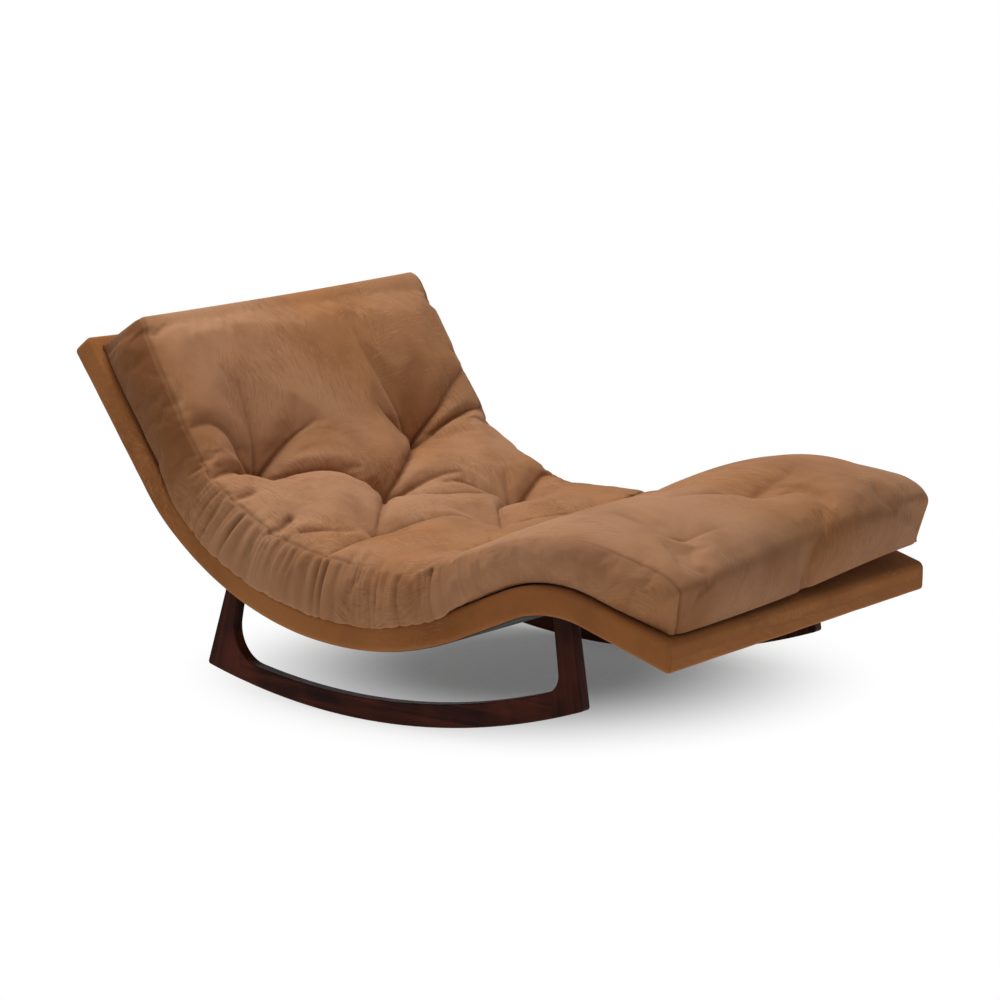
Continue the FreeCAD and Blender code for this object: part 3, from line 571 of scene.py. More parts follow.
def foldDepth(s, y):
    # how far the top is pulled in: pointed pits at the tufts, V valleys along the folds that run out at their far end
    pull = np.zeros(s.shape)
    for tuftS, tuftY, depth, reach in cushion["tufts"]:
        r = np.hypot(s - tuftS, y - tuftY)
        pull = np.maximum(pull, depth * np.exp(-(r / reach) ** 1.15))
    valley = np.zeros(s.shape)
    for points, depth, width in hollows:
        distance, along = distanceToLine(s, y, bentLine(points))
        hollow = depth / 1000 * (1 - 0.8 * along) * np.exp(-(distance / (width / 1000)) ** 2)
        pull = pull + hollow * smoothStep(along, -0.05, 0.05)
    for points, depth, width in folds:
        distance, along = distanceToLine(s, y, bentLine(points))
        fade = 1 - 0.75 * along
        wide = width / 1000 * (1 + 0.8 * along)
        valley = np.maximum(valley, depth / 1000 * fade * np.exp(-(distance / wide) ** 1.3))
        # the cloth stands up a little beside each fold
        pull = pull - 0.22 * depth / 1000 * fade * np.exp(-((distance - 1.9 * wide) / wide) ** 2)
    return pull + 0.8 * valley


def creaseCloseness(s, y, reach):
    # 1 on a fold's line, 0 away from it, weaker along the fold and for shallow folds
    close = np.zeros(s.shape)
    for points, depth, _ in folds:
        distance, along = distanceToLine(s, y, bentLine(points))
        strength = min(1.0, depth / 18) * (1 - 0.7 * along)
        close = np.maximum(close, strength * np.exp(-(distance / reach) ** 1.6))
    return close


sideBand = {
    "bulge": 0.030,
    "length": 0.13,
    "rows": 20,
    # the soft roll near the lower edge: where, how wide, how far out and down
    "hangAt": 0.80,
    "hangReach": 0.13,
    "hangOut": 0.35,
    "hangDown": 0.034,
}


def sideProfile(droop):
    # path of a side band from its seam (w = 0) to its lower edge (w = 1): half a sine outwards,
    # and where the band droops a soft roll near the lower edge that hangs below the base
    w = np.linspace(0, 1, sideBand["rows"])
    out = np.sin(math.pi * w ** 0.85) ** 0.8
    hang = droop[:, None] * np.exp(-((w - sideBand["hangAt"]) / sideBand["hangReach"]) ** 2)[None, :]
    return w, out[None, :] * (1 - 0.1 * droop[:, None]) + sideBand["hangOut"] * hang, sideBand["hangDown"] * hang


def liftFarEdge(loopS, loopY, loopH):
    # the far edge is raised by the table along s and slides up at the head; the far foot corner is lifted
    c = cushion
    alongHead = 1 - smoothStep(loopS, 0.20, 0.55)
    farShare = np.clip((loopY / c["halfWidth"] + 1) / 2, 0, 1)
    farSide = smoothStep(loopY, -0.05, c["halfWidth"])
    higher = smoothStep((loopH - c["base"]) / c["liftHeight"], 0.0, 1.0)
    lifts = readTable(c["farLiftAt"], loopS)
    loopH = loopH + lifts * (farShare * alongHead + farSide * (1 - alongHead)) * higher
    slides = smoothStep((loopH - c["base"]) / c["liftHeight"], 0.55, 1.1) * (1 - smoothStep(loopS, 0.06, 0.40))
    loopS = loopS - c["farHeadSlide"] * farShare ** 2 * slides
    lifted = smoothStep(loopY, -0.46, c["halfWidth"]) ** 1.6
    atFoot = smoothStep(loopS, c["footS"] - c["farFootReach"], c["footS"])
    return loopS, loopH + c["farFootLift"] * lifted * atFoot


def buildCushion():
    # closed loops of top, far side, bottom and near side, carried along the side outline: the top is the outline
    # plus a crown over the width, less the depth of tufts and folds; the sides bulge and droop at the seat
    c = cushion
    arc, profS, profH, normals = cushionProfile()
    rows = len(arc)
    total = arc[-1]
    columns = int(round(2 * c["halfWidth"] / c["cell"])) + 1
    v = np.linspace(-1, 1, columns)
    headNear = np.exp(-(arc / 0.10) ** 2)
    footNear = np.exp(-((total - arc) / 0.12) ** 2)
    bandHeight = profH - c["base"]
    grown = np.clip(bandHeight / readTable(c["seamAt"], profS), 0, 1)
    half = c["halfWidth"] - c["headNarrow"] * headNear - c["footNarrow"] * footNear
    draw = c["headDraw"] * np.exp(-np.clip(profS - c["headS"], 0, 1) / c["headDrawReach"]) * grown
    nearHalf, farHalf = half - draw, half - c["farDraw"] * draw
    # top sheet
    edgeFade = smoothStep(arc, 0.08, 0.24) * smoothStep(total - arc, 0.04, 0.20)
    crown = readTable(c["crownAt"], profS) * grown
    y = np.where(v[None, :] < 0, nearHalf[:, None], farHalf[:, None]) * v[None, :]
    lift = crown[:, None] * (1 - np.abs(v[None, :]) ** c["crownPower"])
    s = np.repeat(profS[:, None], columns, 1)
    pull = foldDepth(s, y) * edgeFade[:, None]
    endShape = np.sin(math.pi * np.clip(bandHeight / c["endBulgeHeight"], 0, 1))
    endFace = c["endBulge"] * endShape * (headNear - footNear)
    topS = s - pull * normals[:, :1] - endFace[:, None] * (1 - v[None, :] ** 2)
    topH = profH[:, None] + lift - pull * normals[:, 1:]
    # bottom sheet: its ends reach the same lines as the top's
    inside = np.array([0.30, total - 0.30])
    knotS = np.concatenate([[c["headS"]], np.interp(inside, arc, profS), [c["footS"]]])
    lowerS = np.interp(arc, np.concatenate([[0], inside, [total]]), knotS)
    bottomS = np.repeat(lowerS[:, None], columns, 1)
    bottomHalf = c["baseHalf"] - c["headNarrow"] * headNear - c["footNarrow"] * footNear
    bottomY = bottomHalf[:, None] * v[None, :]
    bottomH = np.full((rows, columns), c["base"])
    # side sheets
    droop = hill(lowerS, 0.16, 0.62, 1.28, 1.52)
    w, out, drop = sideProfile(droop)
    bulge = sideBand["bulge"] * grown
    outward = bottomHalf[:, None] * w[None, :] + bulge[:, None] * out
    farY, nearY = (h[:, None] * (1 - w[None, :]) + outward for h in (farHalf, nearHalf))
    sideH = c["base"] + bandHeight[:, None] * (1 - w[None, :]) - drop * grown[:, None]
    sideS = profS[:, None] * (1 - w[None, :]) + lowerS[:, None] * w[None, :]
    # one loop per row: top, far side, bottom, near side
    inner = slice(1, -1)
    loopS = np.hstack([topS, sideS[:, inner], bottomS[:, ::-1], sideS[:, ::-1][:, inner]])
    loopY = np.hstack([y, farY[:, inner], bottomY[:, ::-1], -nearY[:, ::-1][:, inner]])
    loopH = np.hstack([topH, sideH[:, inner], bottomH[:, ::-1], sideH[:, ::-1][:, inner]])
    loop = loopS.shape[1]
    # over the knee the top rolls into the sides: each ring is averaged with its neighbours near the seams
    sideRun = np.linspace(0, sideBand["length"], sideBand["rows"])[inner]
    farAway = np.full(columns, 9.0)
    fromSeam = np.concatenate([c["halfWidth"] * (1 - np.abs(v)), sideRun, farAway, sideRun[::-1]])
    rounding = smoothStep(lowerS, 0.95, 1.20) * (1 - 0.7 * smoothStep(lowerS, 1.60, 1.76))
    weight = 0.9 * rounding[:, None] * np.exp(-(fromSeam[None, :] / c["edgeReach"]) ** 2)
    for _ in range(c["edgeRounds"]):
        loopS, loopY, loopH = (
            a + weight * ((np.roll(a, 1, 1) + np.roll(a, -1, 1)) / 2 - a) for a in (loopS, loopY, loopH)
        )
    loopS, loopH = liftFarEdge(loopS, loopY, loopH)
    points = onDeck(loopS, loopY, loopH).reshape(-1, 3)
    piece = putMesh("cushion", points, gridFaces(rows, loop, closeColumns=True))
    # where each point lies on the cloth: along, across with the sides folded flat
    topAcross = v * c["halfWidth"]
    across = np.hstack([topAcross, c["halfWidth"] + sideRun, topAcross[::-1] + 2.0, -c["halfWidth"] - sideRun[::-1]])
    along = np.repeat(arc[:, None], loop, 1).ravel()
    setAttribute(piece, "clothPlace", np.stack([along, np.tile(across, rows), np.zeros(rows * loop)], 1))
    # which sheet it is on: 0 top, 1 far side, 2 bottom, -1 near side; and how far down the side
    sheet = np.hstack([np.zeros(columns), np.ones(len(sideRun)), np.full(columns, 2.0), -np.ones(len(sideRun))])
    downSide = np.hstack([np.zeros(columns), w[inner], np.ones(columns), w[inner][::-1]])
    setAttribute(piece, "sheet", np.tile(sheet, rows))
    setAttribute(piece, "downSide", np.tile(downSide, rows))
    setAttribute(piece, "deckPlace", np.stack([loopS.ravel(), loopY.ravel(), loopH.ravel()], 1))
    weld(piece, 2e-5)
    print("cushion: start shape with", len(piece.data.vertices), "points")
    return piece


simulation = {
    "frames": 20,
    # how firmly each part is held, 0 to 1
    "slack": 0.04,
    "seamHold": 0.10,
    "foldHold": 0.55,
    "tuftReach": 0.013,
    "foldReach": 0.007,
    # the most that a point may move, in the seat and at the foot
    "capSeat": 0.024,
    "capFoot": 0.010,
    # Blender's own names; a negative shrink is spare length
    "settings": {
        "quality": 5,
        "mass": 0.25,
        "tension_stiffness": 12.0,
        "compression_stiffness": 12.0,
        "shear_stiffness": 6.0,
        "bending_stiffness": 0.35,
        "air_damping": 2.0,
        "pin_stiffness": 1.0,
        "use_pressure": True,
        "uniform_pressure_force": 3.0,
        "shrink_min": -0.035,
    },
}


def holdWeights(place, sheet, downSide):
    # 1 at the tufts, the bottom and the head face, less along folds and seams, a trace elsewhere
    s, y = place[:, 0], place[:, 1]
    onTop = np.abs(sheet) < 0.5
    held = np.full(len(s), simulation["slack"])
    for tuftS, tuftY, _, _ in cushion["tufts"]:
        held[onTop & (np.hypot(s - tuftS, y - tuftY) < simulation["tuftReach"])] = 1.0
    onFold = simulation["foldHold"] * creaseCloseness(s, y, simulation["foldReach"])
    held = np.where(onTop, np.maximum(held, onFold), held)
    held[(sheet > 1.5) | (downSide > 0.93)] = 1.0
    held = np.maximum(held, 1 - smoothStep(s, cushion["headS"] + 0.004, cushion["headS"] + 0.05))
    return np.round(np.where(np.abs(np.abs(sheet) - 1) < 0.1, np.maximum(held, simulation["seamHold"]), held), 2)


def swellCushion(piece):
    # cloth under pressure with spare length, held by the weights; each point's way is then cut to the cap
    place, sheet, downSide = (getAttribute(piece, name) for name in ("deckPlace", "sheet", "downSide"))
    start = getPoints(piece.data)
    held = holdWeights(place, sheet, downSide)
    group = piece.vertex_groups.new(name="held")
    for level in np.unique(held):
        group.add(np.nonzero(held == level)[0].tolist(), float(level), "REPLACE")
    cloth = piece.modifiers.new("cloth", "CLOTH")
    for name, value in simulation["settings"].items():
        setattr(cloth.settings, name, value)
    cloth.settings.vertex_group_mass = "held"
    cloth.settings.effector_weights.gravity = 0.0
    cloth.collision_settings.use_collision = False
    cloth.point_cache.frame_end = simulation["frames"]
    scene = bpy.context.scene
    for step in range(1, simulation["frames"] + 1):
        scene.frame_set(step)
    applyModifiers(piece)
    moved = getPoints(piece.data) - start
    size = np.linalg.norm(moved, axis=1)
    towardsFoot = smoothStep(place[:, 0], 0.95, 1.30)
    cap = simulation["capSeat"] + (simulation["capFoot"] - simulation["capSeat"]) * towardsFoot
    scale = np.minimum(1.0, cap / np.maximum(size, 1e-9))
    setPoints(piece.data, start + moved * scale[:, None])
    scene.frame_set(1)
    mean, most = (round(float(v) * 1000, 1) for v in (size.mean(), size.max()))
    print("cushion: cloth moved by", mean, "mm on average,", most, "at most")


# gathers, seam and creases: pitches, reaches and depths in metres
sewing = {
    "broadPitch": 0.042,
    "broadDepth": 0.0150,
    "finePitch": 0.021,
    "fineDepth": 0.0050,
    "softPitch": 0.085,
    "softDepth": 0.0020,
    "farTight": 0.65,
    "seamDepth": 0.0024,
    "seamReach": 0.0035,
    "puckerPitch": 0.052,
    "puckerDepth": 0.0075,
    "puckerReach": 0.032,
    "creaseDepth": 0.0085,
    "creaseReach": 0.0055,
    "zipHalf": 0.355,
    "zipClear": 0.0012,
}

# painted shade on each part, 0 to 1: the side bands, the head side and top and the foot face are darkened where less
# light falls, and the pleat valleys and creases where shade gathers
paintedShadeShares = {"side": 0.22, "headSide": 0.55, "headTop": 0.14, "valley": 0.50, "crease": 0.55, "footFace": 0.42}


def ridges(s, pitch, waver, power, level):
    # rounded ridges with sharp valleys: a power of the sine's size, at an uneven pitch
    return np.abs(np.sin(math.pi * (s / pitch + waver))) ** power - level


def flattenAtZip(points, y):
    # the head face is held flat just behind the zip's tape: points in front of it go back along the deck's line
    tape = getPoints(bpy.data.objects["zip_tape"].data)
    middle = (tape.min(0) + tape.max(0)) / 2
    corner, inwards, raised = onDeck(0.0, 0.0, 0.0), onDeck(0.02, 0.0, 0.0), onDeck(0.0, 0.0, 0.02)
    outwards, upwards = corner - inwards, raised - corner
    outwards, upwards = outwards / np.linalg.norm(outwards), upwards / np.linalg.norm(upwards)
    away = (points - middle) @ outwards
    across = np.abs((points - middle) @ upwards)
    held = (1 - smoothStep(across, 0.020, 0.050)) * (1 - smoothStep(np.abs(y), sewing["zipHalf"], 0.40))
    held = held * smoothStep(away, -0.030, -0.010)
    return points - np.outer(held * np.clip(away + sewing["zipClear"], 0, 1), outwards)


def refineCushion(piece):
    # one subdivision, then pleats, seam groove and small creases along the surface normal
    split = piece.modifiers.new("split", "SUBSURF")
    split.levels = split.render_levels = 1
    applyModifiers(piece)
    points, normals = getPoints(piece.data), getNormals(piece.data)
    place, sheet, downSide = (getAttribute(piece, name) for name in ("deckPlace", "sheet", "downSide"))
    cloth = getAttribute(piece, "clothPlace")
    s, y = place[:, 0], place[:, 1]
    top = np.abs(sheet) < 0.5
    side = np.clip(np.abs(sheet), 0, 1) * (sheet < 1.5)
    push = np.zeros(len(points))
    # gathers on the side bands, uneven in pitch and depth, dying out downwards
    seat = hill(s, 0.38, 0.66, 1.34, 1.60)
    wander = 0.30 * (downSide - 0.3) * ripple(s * 5.0, 9)
    broad = ridges(s, sewing["broadPitch"], 1.5 * ripple(s * 2.3, 4) + wander, 0.75, 0.6)
    fine = ridges(s, sewing["finePitch"], 1.6 * ripple(s * 3.3, 5) + 1.5 * wander, 0.9, 0.6)
    depth = np.clip(0.45 + 0.75 * ripple(s * 4.1, 12), 0.05, 1.2)
    fall = smoothStep(downSide, 0.0, 0.10) * (1 - 0.80 * smoothStep(downSide, 0.40, 0.92))
    nearShare = 1 - sewing["farTight"] * smoothStep(y, 0.0, 0.3)      # the far side is drawn tighter
    gathered = side * seat * fall * nearShare
    push += gathered * (sewing["broadDepth"] * depth * broad + sewing["fineDepth"] * (1.3 - depth) * fine)
    soft = np.sin(2 * math.pi * (s / sewing["softPitch"] + 0.5 * ripple(s * 1.9, 21)))
    push += side * (1 - seat) * np.sin(math.pi * np.clip(downSide, 0, 1)) * sewing["softDepth"] * soft
    # the seam is a narrow groove, fainter over the knee
    edge = np.abs(np.abs(cloth[:, 1]) - cushion["halfWidth"])
    knee = hill(s, 0.98, 1.12, 1.56, 1.70)
    onSeam = (sheet < 1.5) * np.exp(-(edge / sewing["seamReach"]) ** 2) * (1 - 0.85 * knee)
    push -= sewing["seamDepth"] * onSeam
    # puckers that cross the seam
    pucker = ridges(s, sewing["puckerPitch"], 1.3 * ripple(s * 2.0, 33), 0.7, 0.65)
    puckered = np.clip(0.4 + 0.9 * ripple(s * 3.4, 17), 0.0, 1.2) * (0.20 + 0.80 * seat) * nearShare
    nearSeam = np.exp(-(edge / sewing["puckerReach"]) ** 2) * (sheet < 1.5)
    push += nearSeam * puckered * sewing["puckerDepth"] * pucker
    # sharp creases along the folds
    crease = top * creaseCloseness(s, y, sewing["creaseReach"])
    push -= sewing["creaseDepth"] * crease
    setPoints(piece.data, flattenAtZip(points + normals * push[:, None], y))
    # painted shade: the sides, the head top and the foot face are darkened where less light falls on them, and the
    # pleat valleys and creases where shade gathers
    head = 1 - smoothStep(s, 0.30, 0.55)
    footFace = top * smoothStep(s, cushion["footS"] - 0.018, cushion["footS"])
    valley = gathered * depth * np.clip(0.35 - broad, 0, 1)
    shadeAmount = side * (paintedShadeShares["side"] + paintedShadeShares["headSide"] * head) + paintedShadeShares["headTop"] * top * head
    shadeAmount += paintedShadeShares["valley"] * valley + paintedShadeShares["crease"] * crease + paintedShadeShares["footFace"] * footFace
    setAttribute(piece, "shadeMask", np.clip(shadeAmount, 0, 1))
    setAttribute(piece, "seamLine", onSeam)
    # a fresh copy of the mesh, so that its box is worked out anew
    piece.data = piece.data.copy()
    print("cushion: finished with", len(piece.data.polygons), "faces")


def cushionSuede():
    # the suede, with painted shade mixed in on the sides, head top, foot face, pleat valleys and creases, and darkest
    # in the seam
    material, tree, shader, base = suedeMaterial("brushedSuede", "clothPlace", suedeLook)
    seamLine = attribute(tree, "seamLine")
    shadeMask = attribute(tree, "shadeMask")
    # painted shade: the deep tone mixed in by the stored shade mask
    base = mixColour(tree, shadeMask, base, srgb(100, 58, 28))
    base = mixColour(tree, times(tree, seamLine, 0.45), base, srgb(84, 50, 28))
    tree.links.new(base, shader.inputs["Base Color"])
    return material


print("building the cushion")
cushionPiece = buildCushion()
swellCushion(cushionPiece)
refineCushion(cushionPiece)
cushionPiece.data.materials.append(cushionSuede())
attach(cushionPiece, "cushion")
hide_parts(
    "cushion_core", "cushion_wrap", "cushion_top_panel", "cushion_bottom_panel",
    "cushion_right_band", "cushion_left_band", "cushion_head_band", "cushion_foot_band",
)


# the twine of each tuft runs from the pit down through the cushion to its felt pad underneath

ties = {
    "radius": 0.0012,
    "sides": 8,
    "rings": 6,
    "sunk": 0.003,
    # the felt pads lie in rows across the deck: two at the sides, then one in the middle
    "firstRow": 0.475,
    "rowPitch": 0.197,
    "rows": 7,
    "sideY": 0.22,
}


def padPlaces():
    # (s, y) of each felt pad, rows of two and of one in turn
    for row in range(ties["rows"]):
        for y in (0.0,) if row % 2 else (-ties["sideY"], ties["sideY"]):
            yield ties["firstRow"] + ties["rowPitch"] * row, y


def twineTube(start, end):
    # rings round a straight axis, drawn in to a point at both ends
    axis = (end - start) / np.linalg.norm(end - start)
    start = start + axis * ties["sunk"]
    u = np.cross(axis, (0, 1, 0)) / np.linalg.norm(np.cross(axis, (0, 1, 0)))
    w = np.cross(axis, u)
    turn = np.linspace(0, 2 * math.pi, ties["sides"], endpoint=False)
    ring = ties["radius"] * (np.cos(turn)[:, None] * u + np.sin(turn)[:, None] * w)
    middle = start + np.linspace(0, 1, ties["rings"])[:, None] * (end - start)
    middle = np.vstack([middle[:1], middle, middle[-1:]])
    size = np.concatenate([[0.0], np.ones(ties["rings"]), [0.0]])
    return (middle[:, None, :] + size[:, None, None] * ring[None, :, :]).reshape(-1, 3)


def buildTies(piece):
    # a tube from the top of each pit to the pad that lies nearest to it along the deck
    place, sheet, points = getAttribute(piece, "deckPlace"), getAttribute(piece, "sheet"), getPoints(piece.data)
    top = np.abs(sheet) < 0.5
    tufts = np.array([t[:2] for t in cushion["tufts"]])
    tubes, faces = [], []
    for padS, padY in padPlaces():
        tuft = tufts[np.argmin(np.hypot(tufts[:, 0] - padS, tufts[:, 1] - padY))]
        nearest = np.argmin(np.hypot(place[:, 0] - tuft[0], place[:, 1] - tuft[1]) + 9.0 * ~top)
        tube = twineTube(points[nearest], onDeck(padS, padY, cushion["base"] + 0.001))
        faces.append(gridFaces(ties["rings"] + 2, ties["sides"], closeColumns=True) + len(tube) * len(tubes))
        tubes.append(tube)
    made = putMesh("tuftTwine", np.vstack(tubes), np.vstack(faces))
    weld(made, 1e-6)
    return made


print("threading the tufts")
twinePiece = buildTies(cushionPiece)
twinePiece.data.materials.append(plainMaterial("waxedTwine", (176, 130, 90), (196, 150, 108), 500.0, 0.9))
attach(twinePiece, "cushion")
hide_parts("tuft_ties")


# the deck's cover

cover = {
    "cell": 0.011,
    "endRows": 7,
    "cornerRows": 6,
    "sideCells": 6,
    "widthCells": 90,
    "waver": 0.0008,
    "seated": 0.0004,
}


def coverStations():
    # places along the deck, with the inset and the share of the thickness at each: at both ends the section
    # draws in on a quarter round and then closes over a flat face
    r = deck["edgeRound"]
    turn = np.linspace(0, math.pi / 2, cover["endRows"])[:-1]
    middleS = np.linspace(r, deckLength - r, int(deckLength / cover["cell"]))
    headS = np.concatenate([np.zeros(4), r * (1 - np.sin(turn))[::-1]])
    headIn = np.concatenate([np.full(4, r), r * (1 - np.cos(turn))[::-1]])
    headFlat = np.concatenate([[0.0, 0.25, 0.6, 0.999], np.ones(len(turn))])
    s = np.concatenate([headS, middleS, deckLength - headS[::-1]])
    inset = np.concatenate([headIn, np.zeros(len(middleS)), headIn[::-1]])
    flat = np.concatenate([headFlat, np.ones(len(middleS)), headFlat[::-1]])
    return s, inset, flat


def buildDeckCover():
    # rounded oblong section carried along the deck's line
    halfT, r = deck["thickness"] / 2, deck["edgeRound"]
    s, inset, flat = coverStations()
    rows = len(s)
    # section: top from near to far, far side, underside, near side; corners on quarter rounds
    corner = np.linspace(0, math.pi / 2, cover["cornerRows"])
    across = np.linspace(-1, 1, cover["widthCells"])
    hw, ht = (deck["width"] / 2 - inset)[:, None], ((halfT - inset) * flat)[:, None]
    rounded = np.minimum(np.maximum(r - inset, 0.0005)[:, None], ht)
    topY = across[None, :] * (hw - rounded)
    topH = np.repeat(ht, len(across), 1)
    farY = hw - rounded + rounded * np.sin(corner)[None, 1:]
    farH = ht - rounded + rounded * np.cos(corner)[None, 1:]
    sideH = np.linspace(1, -1, cover["sideCells"] + 1)[None, 1:-1] * (ht - rounded)
    sideY = np.repeat(hw, cover["sideCells"] - 1, 1)
    halfY = np.hstack([topY, farY, sideY, farY[:, ::-1]])
    halfH = np.hstack([topH, farH, sideH, -farH[:, ::-1]])
    loopY, loopH = np.hstack([halfY, -halfY]), np.hstack([halfH, -halfH])
    h = halfT + loopH
    stationS = s[:, None] + footLean(s)[:, None] * h
    points = onDeck(stationS, loopY, h).reshape(-1, 3)
    piece = putMesh("deckCover", points, gridFaces(rows, loopY.shape[1], closeColumns=True))
    # the cloth's own place: along the deck and round the section
    steps = np.hypot(*(np.diff(a, axis=1, prepend=a[:, -1:]) for a in (loopY, loopH)))
    around = np.cumsum(steps, axis=1).ravel()
    setAttribute(piece, "coverPlace", np.stack([stationS.ravel(), around, np.zeros(around.size)], 1))
    weld(piece, 2e-5)
    return piece


def waverCover(piece):
    # the cloth over the padding is not quite flat: slow swells, and faint drag lines up the sides
    points, normals = getPoints(piece.data), getNormals(piece.data)
    swell = ripple(points[:, 0] * 3.1 + points[:, 1] * 1.3, 5) * ripple(points[:, 1] * 3.7 - points[:, 2] * 2.0, 6)
    upright = 1 - np.abs(normals[:, 2])
    drag = upright * ripple(points[:, 0] * 14.0 + 0.5 * ripple(points[:, 2] * 9.0, 8), 7)
    onTop = smoothStep(normals[:, 2], 0.2, 0.6)
    push = cover["waver"] * (swell * (1 - onTop) + 0.6 * drag) - cover["seated"]
    setPoints(piece.data, points + normals * push[:, None])


# a shaded copy of the same suede on the deck: its deeper tone is painted shade
shadedDeckLook = dict(
    suedeLook, light=(158, 103, 58), middle=(140, 87, 46), deep=(100, 58, 27), streak=(174, 122, 78), sheen=0.05,
)

print("building the deck cover")
coverPiece = buildDeckCover()
waverCover(coverPiece)
# the deck's suede in the deeper tone, which is painted shade
coverPiece.data.materials.append(suedeMaterial("shadedDeckSuede", "coverPlace", shadedDeckLook)[0])
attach(coverPiece, "frame")
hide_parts("deck_cover", "deck_foam")


# dust cover under the deck

dust = {"margin": 0.015, "gap": 0.0002, "thickness": 0.0009, "cell": 0.02, "widthPoints": 50}


def buildDustCover():
    # thin closed sheet a hair below the deck, following its line
    s = np.linspace(dust["margin"], deckLength - dust["margin"], int(deckLength / dust["cell"]))
    count = dust["widthPoints"]
    y = np.linspace(-1, 1, count) * (deck["width"] / 2 - dust["margin"])
    rows = len(s)
    loopY = np.concatenate([y, y[::-1]])
    loopH = np.concatenate([np.full(count, -dust["gap"]), np.full(count, -dust["gap"] - dust["thickness"])])
    leaning = s[:, None] + footLean(s)[:, None] * loopH[None, :]
    points = onDeck(leaning, loopY[None, :], loopH[None, :]).reshape(-1, 3)
    faces = [gridFaces(rows, 2 * count, closeColumns=True)]
    a = np.arange(count - 1)
    end = np.stack([a, a + 1, 2 * count - 2 - a, 2 * count - 1 - a], 1)
    faces += [end + 2 * count * row for row in (0, rows - 1)]
    piece = putMesh("dustCover", points, np.vstack(faces))
    weld(piece, 1e-6)
    return piece


print("building the dust cover")
dustPiece = buildDustCover()
dustPiece.data.materials.append(plainMaterial("dustCloth", (28, 27, 26), (44, 42, 40), 600.0, 0.9, relief=0.0004))
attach(dustPiece, "frame")
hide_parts("dust_cover")


# finishes of the CAD nodes that stay

def finish(material, *names):
    # the material on each named node of the frame
    for name in names:
        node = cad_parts[name]
        node.data.materials.clear()
        node.data.materials.append(material)


print("finishing the wood and metal")
finish(woodMaterial("walnutRunner", "x"), "right_runner", "left_runner")
finish(woodMaterial("walnutFrontPost", "z", tilt=0.13), "right_front_post", "left_front_post")
finish(woodMaterial("walnutRearPost", "z", tilt=-0.27), "right_rear_post", "left_rear_post")
finish(woodMaterial("walnutStretcher", "y"), "rear_stretcher", "front_stretcher")
finish(plainMaterial("dowelBeech", (186, 146, 104), (206, 170, 128), 60.0, 0.6), "runner_dowels", "stretcher_dowels")
pine = plainMaterial("pine", (196, 160, 110), (214, 182, 136), 40.0, 0.7, along=(1.0, 8.0, 8.0))
finish(pine, "centre_rib", "right_side_rib", "left_side_rib", "head_rail", "foot_rail")
finish(pine, "front_cross_rail", "rear_cross_rail")
finish(plainMaterial("plywood", (188, 152, 108), (204, 172, 130), 30.0, 0.7, along=(1.0, 6.0, 40.0)), "deck_panel")
steel = plainMaterial("zincSteel", (150, 150, 148), (176, 176, 172), 300.0, 0.32, 1.0, 0.0001)
finish(steel, "deck_bolts", "deck_washers", "tee_nuts")
stripTape = plainMaterial("stripTape", (52, 42, 34), (70, 58, 47), 900.0, 0.95, relief=0.0006)
finish(stripTape, "hook_strips", "loop_strips")
finish(plainMaterial("felt", (96, 78, 62), (112, 94, 76), 400.0, 0.95), "tuft_anchors")
finish(plainMaterial("zipCloth", (112, 74, 46), (130, 90, 58), 900.0, 0.9), "zip_tape")
finish(plainMaterial("zipPlastic", (98, 64, 38), (112, 76, 48), 200.0, 0.45), "zip_chain")
finish(plainMaterial("zipMetal", (132, 112, 76), (150, 130, 92), 300.0, 0.35, 1.0, 0.0001), "zip_slider", "zip_pull")


# floor, light and camera

stage = {
    "floor": (226, 226, 225),
    "halfSize": 6.0,
    # the floor is shown plain within fadeFrom of the middle and is white from fadeTo on
    "middle": (0.02, -0.15, 0.0),
    "fadeFrom": 0.22,
    "fadeTo": 0.82,
    "shadowLift": 0.12,
    "worldColour": (1.0, 0.985, 0.97, 1.0),
    "world": 0.27,
    # lamps: place, aimed at, width, power
    "keyLamp": ((-0.62, -0.37, 3.3), (0.0, 0.0, 0.3), 2.6, 89.0),
    "fillLamp": ((2.6, -3.0, 1.8), (0.0, 0.0, 0.4), 2.0, 3.0),
}
white = (1.0, 1.0, 1.0, 1.0)


def floorMaterial():
    # pale grained paint that mixes into plain white by the distance from the object
    material, tree, shader = newMaterial("paleFloor")
    place = objectPlace(tree)
    grain = noise(tree, place, 60.0, 4.0)
    lighter = [v + 5 for v in stage["floor"]]
    paint = mixColour(tree, ramp(tree, grain, 0.3, 0.7), srgb(*stage["floor"]), srgb(*lighter))
    setInputs(tree, shader, {"Base Color": paint, "Roughness": 0.9, "Specular IOR Level": 0.1})
    middle = addNode(tree, "ShaderNodeMapping", {"Vector": place, "Location": stage["middle"]}).outputs[0]
    far = addNode(tree, "ShaderNodeVectorMath", {0: middle}, operation="LENGTH").outputs["Value"]
    glow = addNode(tree, "ShaderNodeEmission", {"Color": white, "Strength": 1.0}).outputs[0]
    share = ramp(tree, far, stage["fadeFrom"], stage["fadeTo"], stage["shadowLift"], 1.0)
    blend = addNode(tree, "ShaderNodeMixShader", {0: share, 1: shader.outputs[0], 2: glow})
    output = next(n for n in tree.nodes if n.type == "OUTPUT_MATERIAL")
    tree.links.new(blend.outputs[0], output.inputs["Surface"])
    return material


def buildStage():
    # flat square floor at z = 0
    line = np.linspace(-stage["halfSize"], stage["halfSize"], 3)
    x, y = np.meshgrid(line, line, indexing="ij")
    floor = putMesh("floor", np.stack([x.ravel(), y.ravel(), np.zeros(x.size)], 1), gridFaces(*x.shape))
    floor.data.materials.append(floorMaterial())


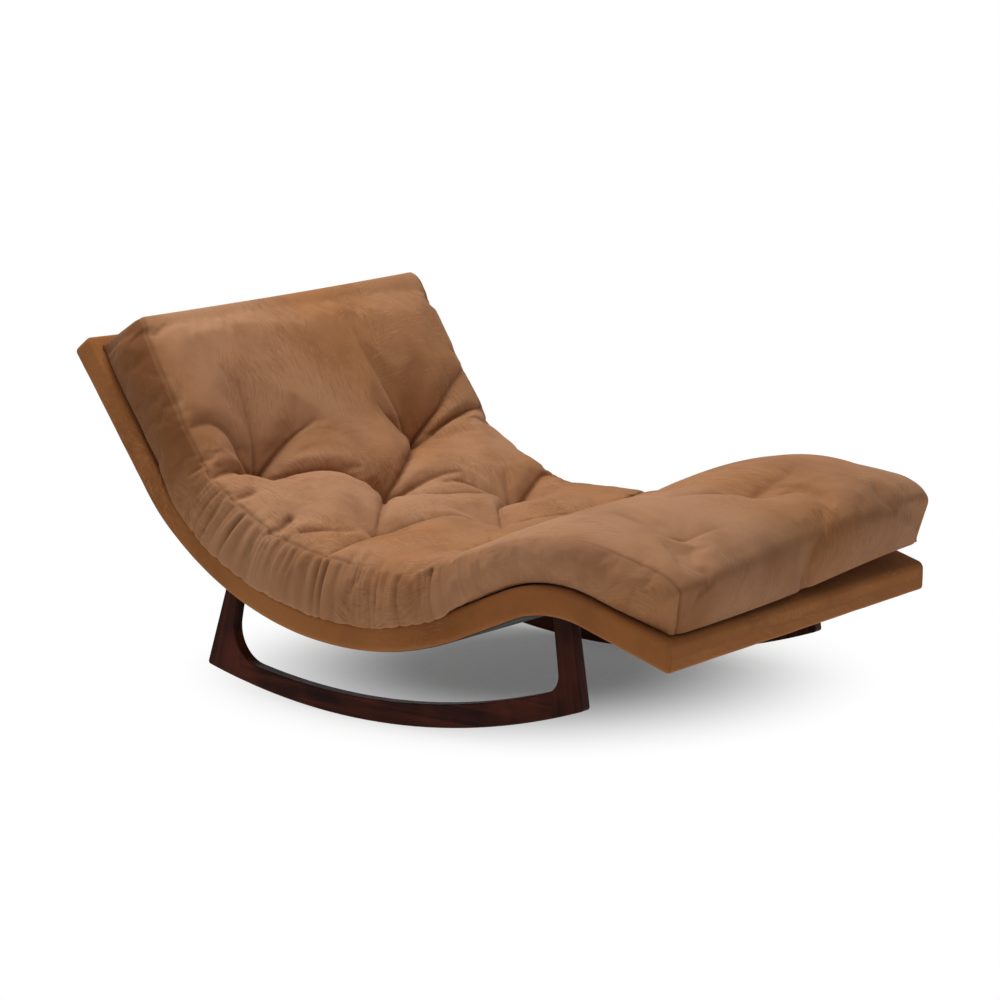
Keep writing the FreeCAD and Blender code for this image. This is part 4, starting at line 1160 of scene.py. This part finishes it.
def buildWorld():
    # soft ambient light on the object, plain white wherever the camera or a reflection sees the surround
    world = bpy.data.worlds.new("studio")
    bpy.context.scene.world = world
    world.use_nodes = True
    tree = world.node_tree
    tree.nodes.clear()
    rays = addNode(tree, "ShaderNodeLightPath").outputs
    mirrored = calculate(tree, "MAXIMUM", rays["Is Glossy Ray"], rays["Is Transmission Ray"])
    seen = calculate(tree, "MAXIMUM", rays["Is Camera Ray"], mirrored)
    ambient = addNode(tree, "ShaderNodeBackground", {"Color": stage["worldColour"], "Strength": stage["world"]})
    surround = addNode(tree, "ShaderNodeBackground", {"Color": white, "Strength": 1.0})
    blend = addNode(tree, "ShaderNodeMixShader", {0: seen, 1: ambient.outputs[0], 2: surround.outputs[0]})
    output = addNode(tree, "ShaderNodeOutputWorld")
    tree.links.new(blend.outputs[0], output.inputs["Surface"])


def addLamp(name):
    # a round area lamp turned towards its target
    place, target, width, power = stage[name]
    data = bpy.data.lights.new(name, "AREA")
    data.shape, data.size, data.energy = "DISK", width, power
    lamp = bpy.data.objects.new(name, data)
    bpy.context.scene.collection.objects.link(lamp)
    lamp.location = place
    direction = Vector(target) - Vector(place)
    lamp.rotation_euler = direction.to_track_quat("-Z", "Y").to_euler()


view = {
    "lens": 90.0,
    "sensor": 36.0,
    "azimuth": 37.916,
    "elevation": 9.923,
    "distance": 5.5168,
    "look": (0.0019, 0.0182, 0.4001),
}


def addCamera():
    # on a sphere round the point looked at, azimuth counted from -Y towards +X
    data = bpy.data.cameras.new("camera")
    data.lens, data.sensor_width = view["lens"], view["sensor"]
    camera = bpy.data.objects.new("camera", data)
    bpy.context.scene.collection.objects.link(camera)
    a, e = math.radians(view["azimuth"]), math.radians(view["elevation"])
    back = Vector((math.sin(a) * math.cos(e), -math.cos(a) * math.cos(e), math.sin(e)))
    camera.location = Vector(view["look"]) + back * view["distance"]
    camera.rotation_euler = (-back).to_track_quat("-Z", "Y").to_euler()
    bpy.context.scene.camera = camera


print("setting the stage")
buildStage()
buildWorld()
addLamp("keyLamp")
addLamp("fillLamp")
addCamera()
bpy.context.scene.view_settings.view_transform = "Standard"
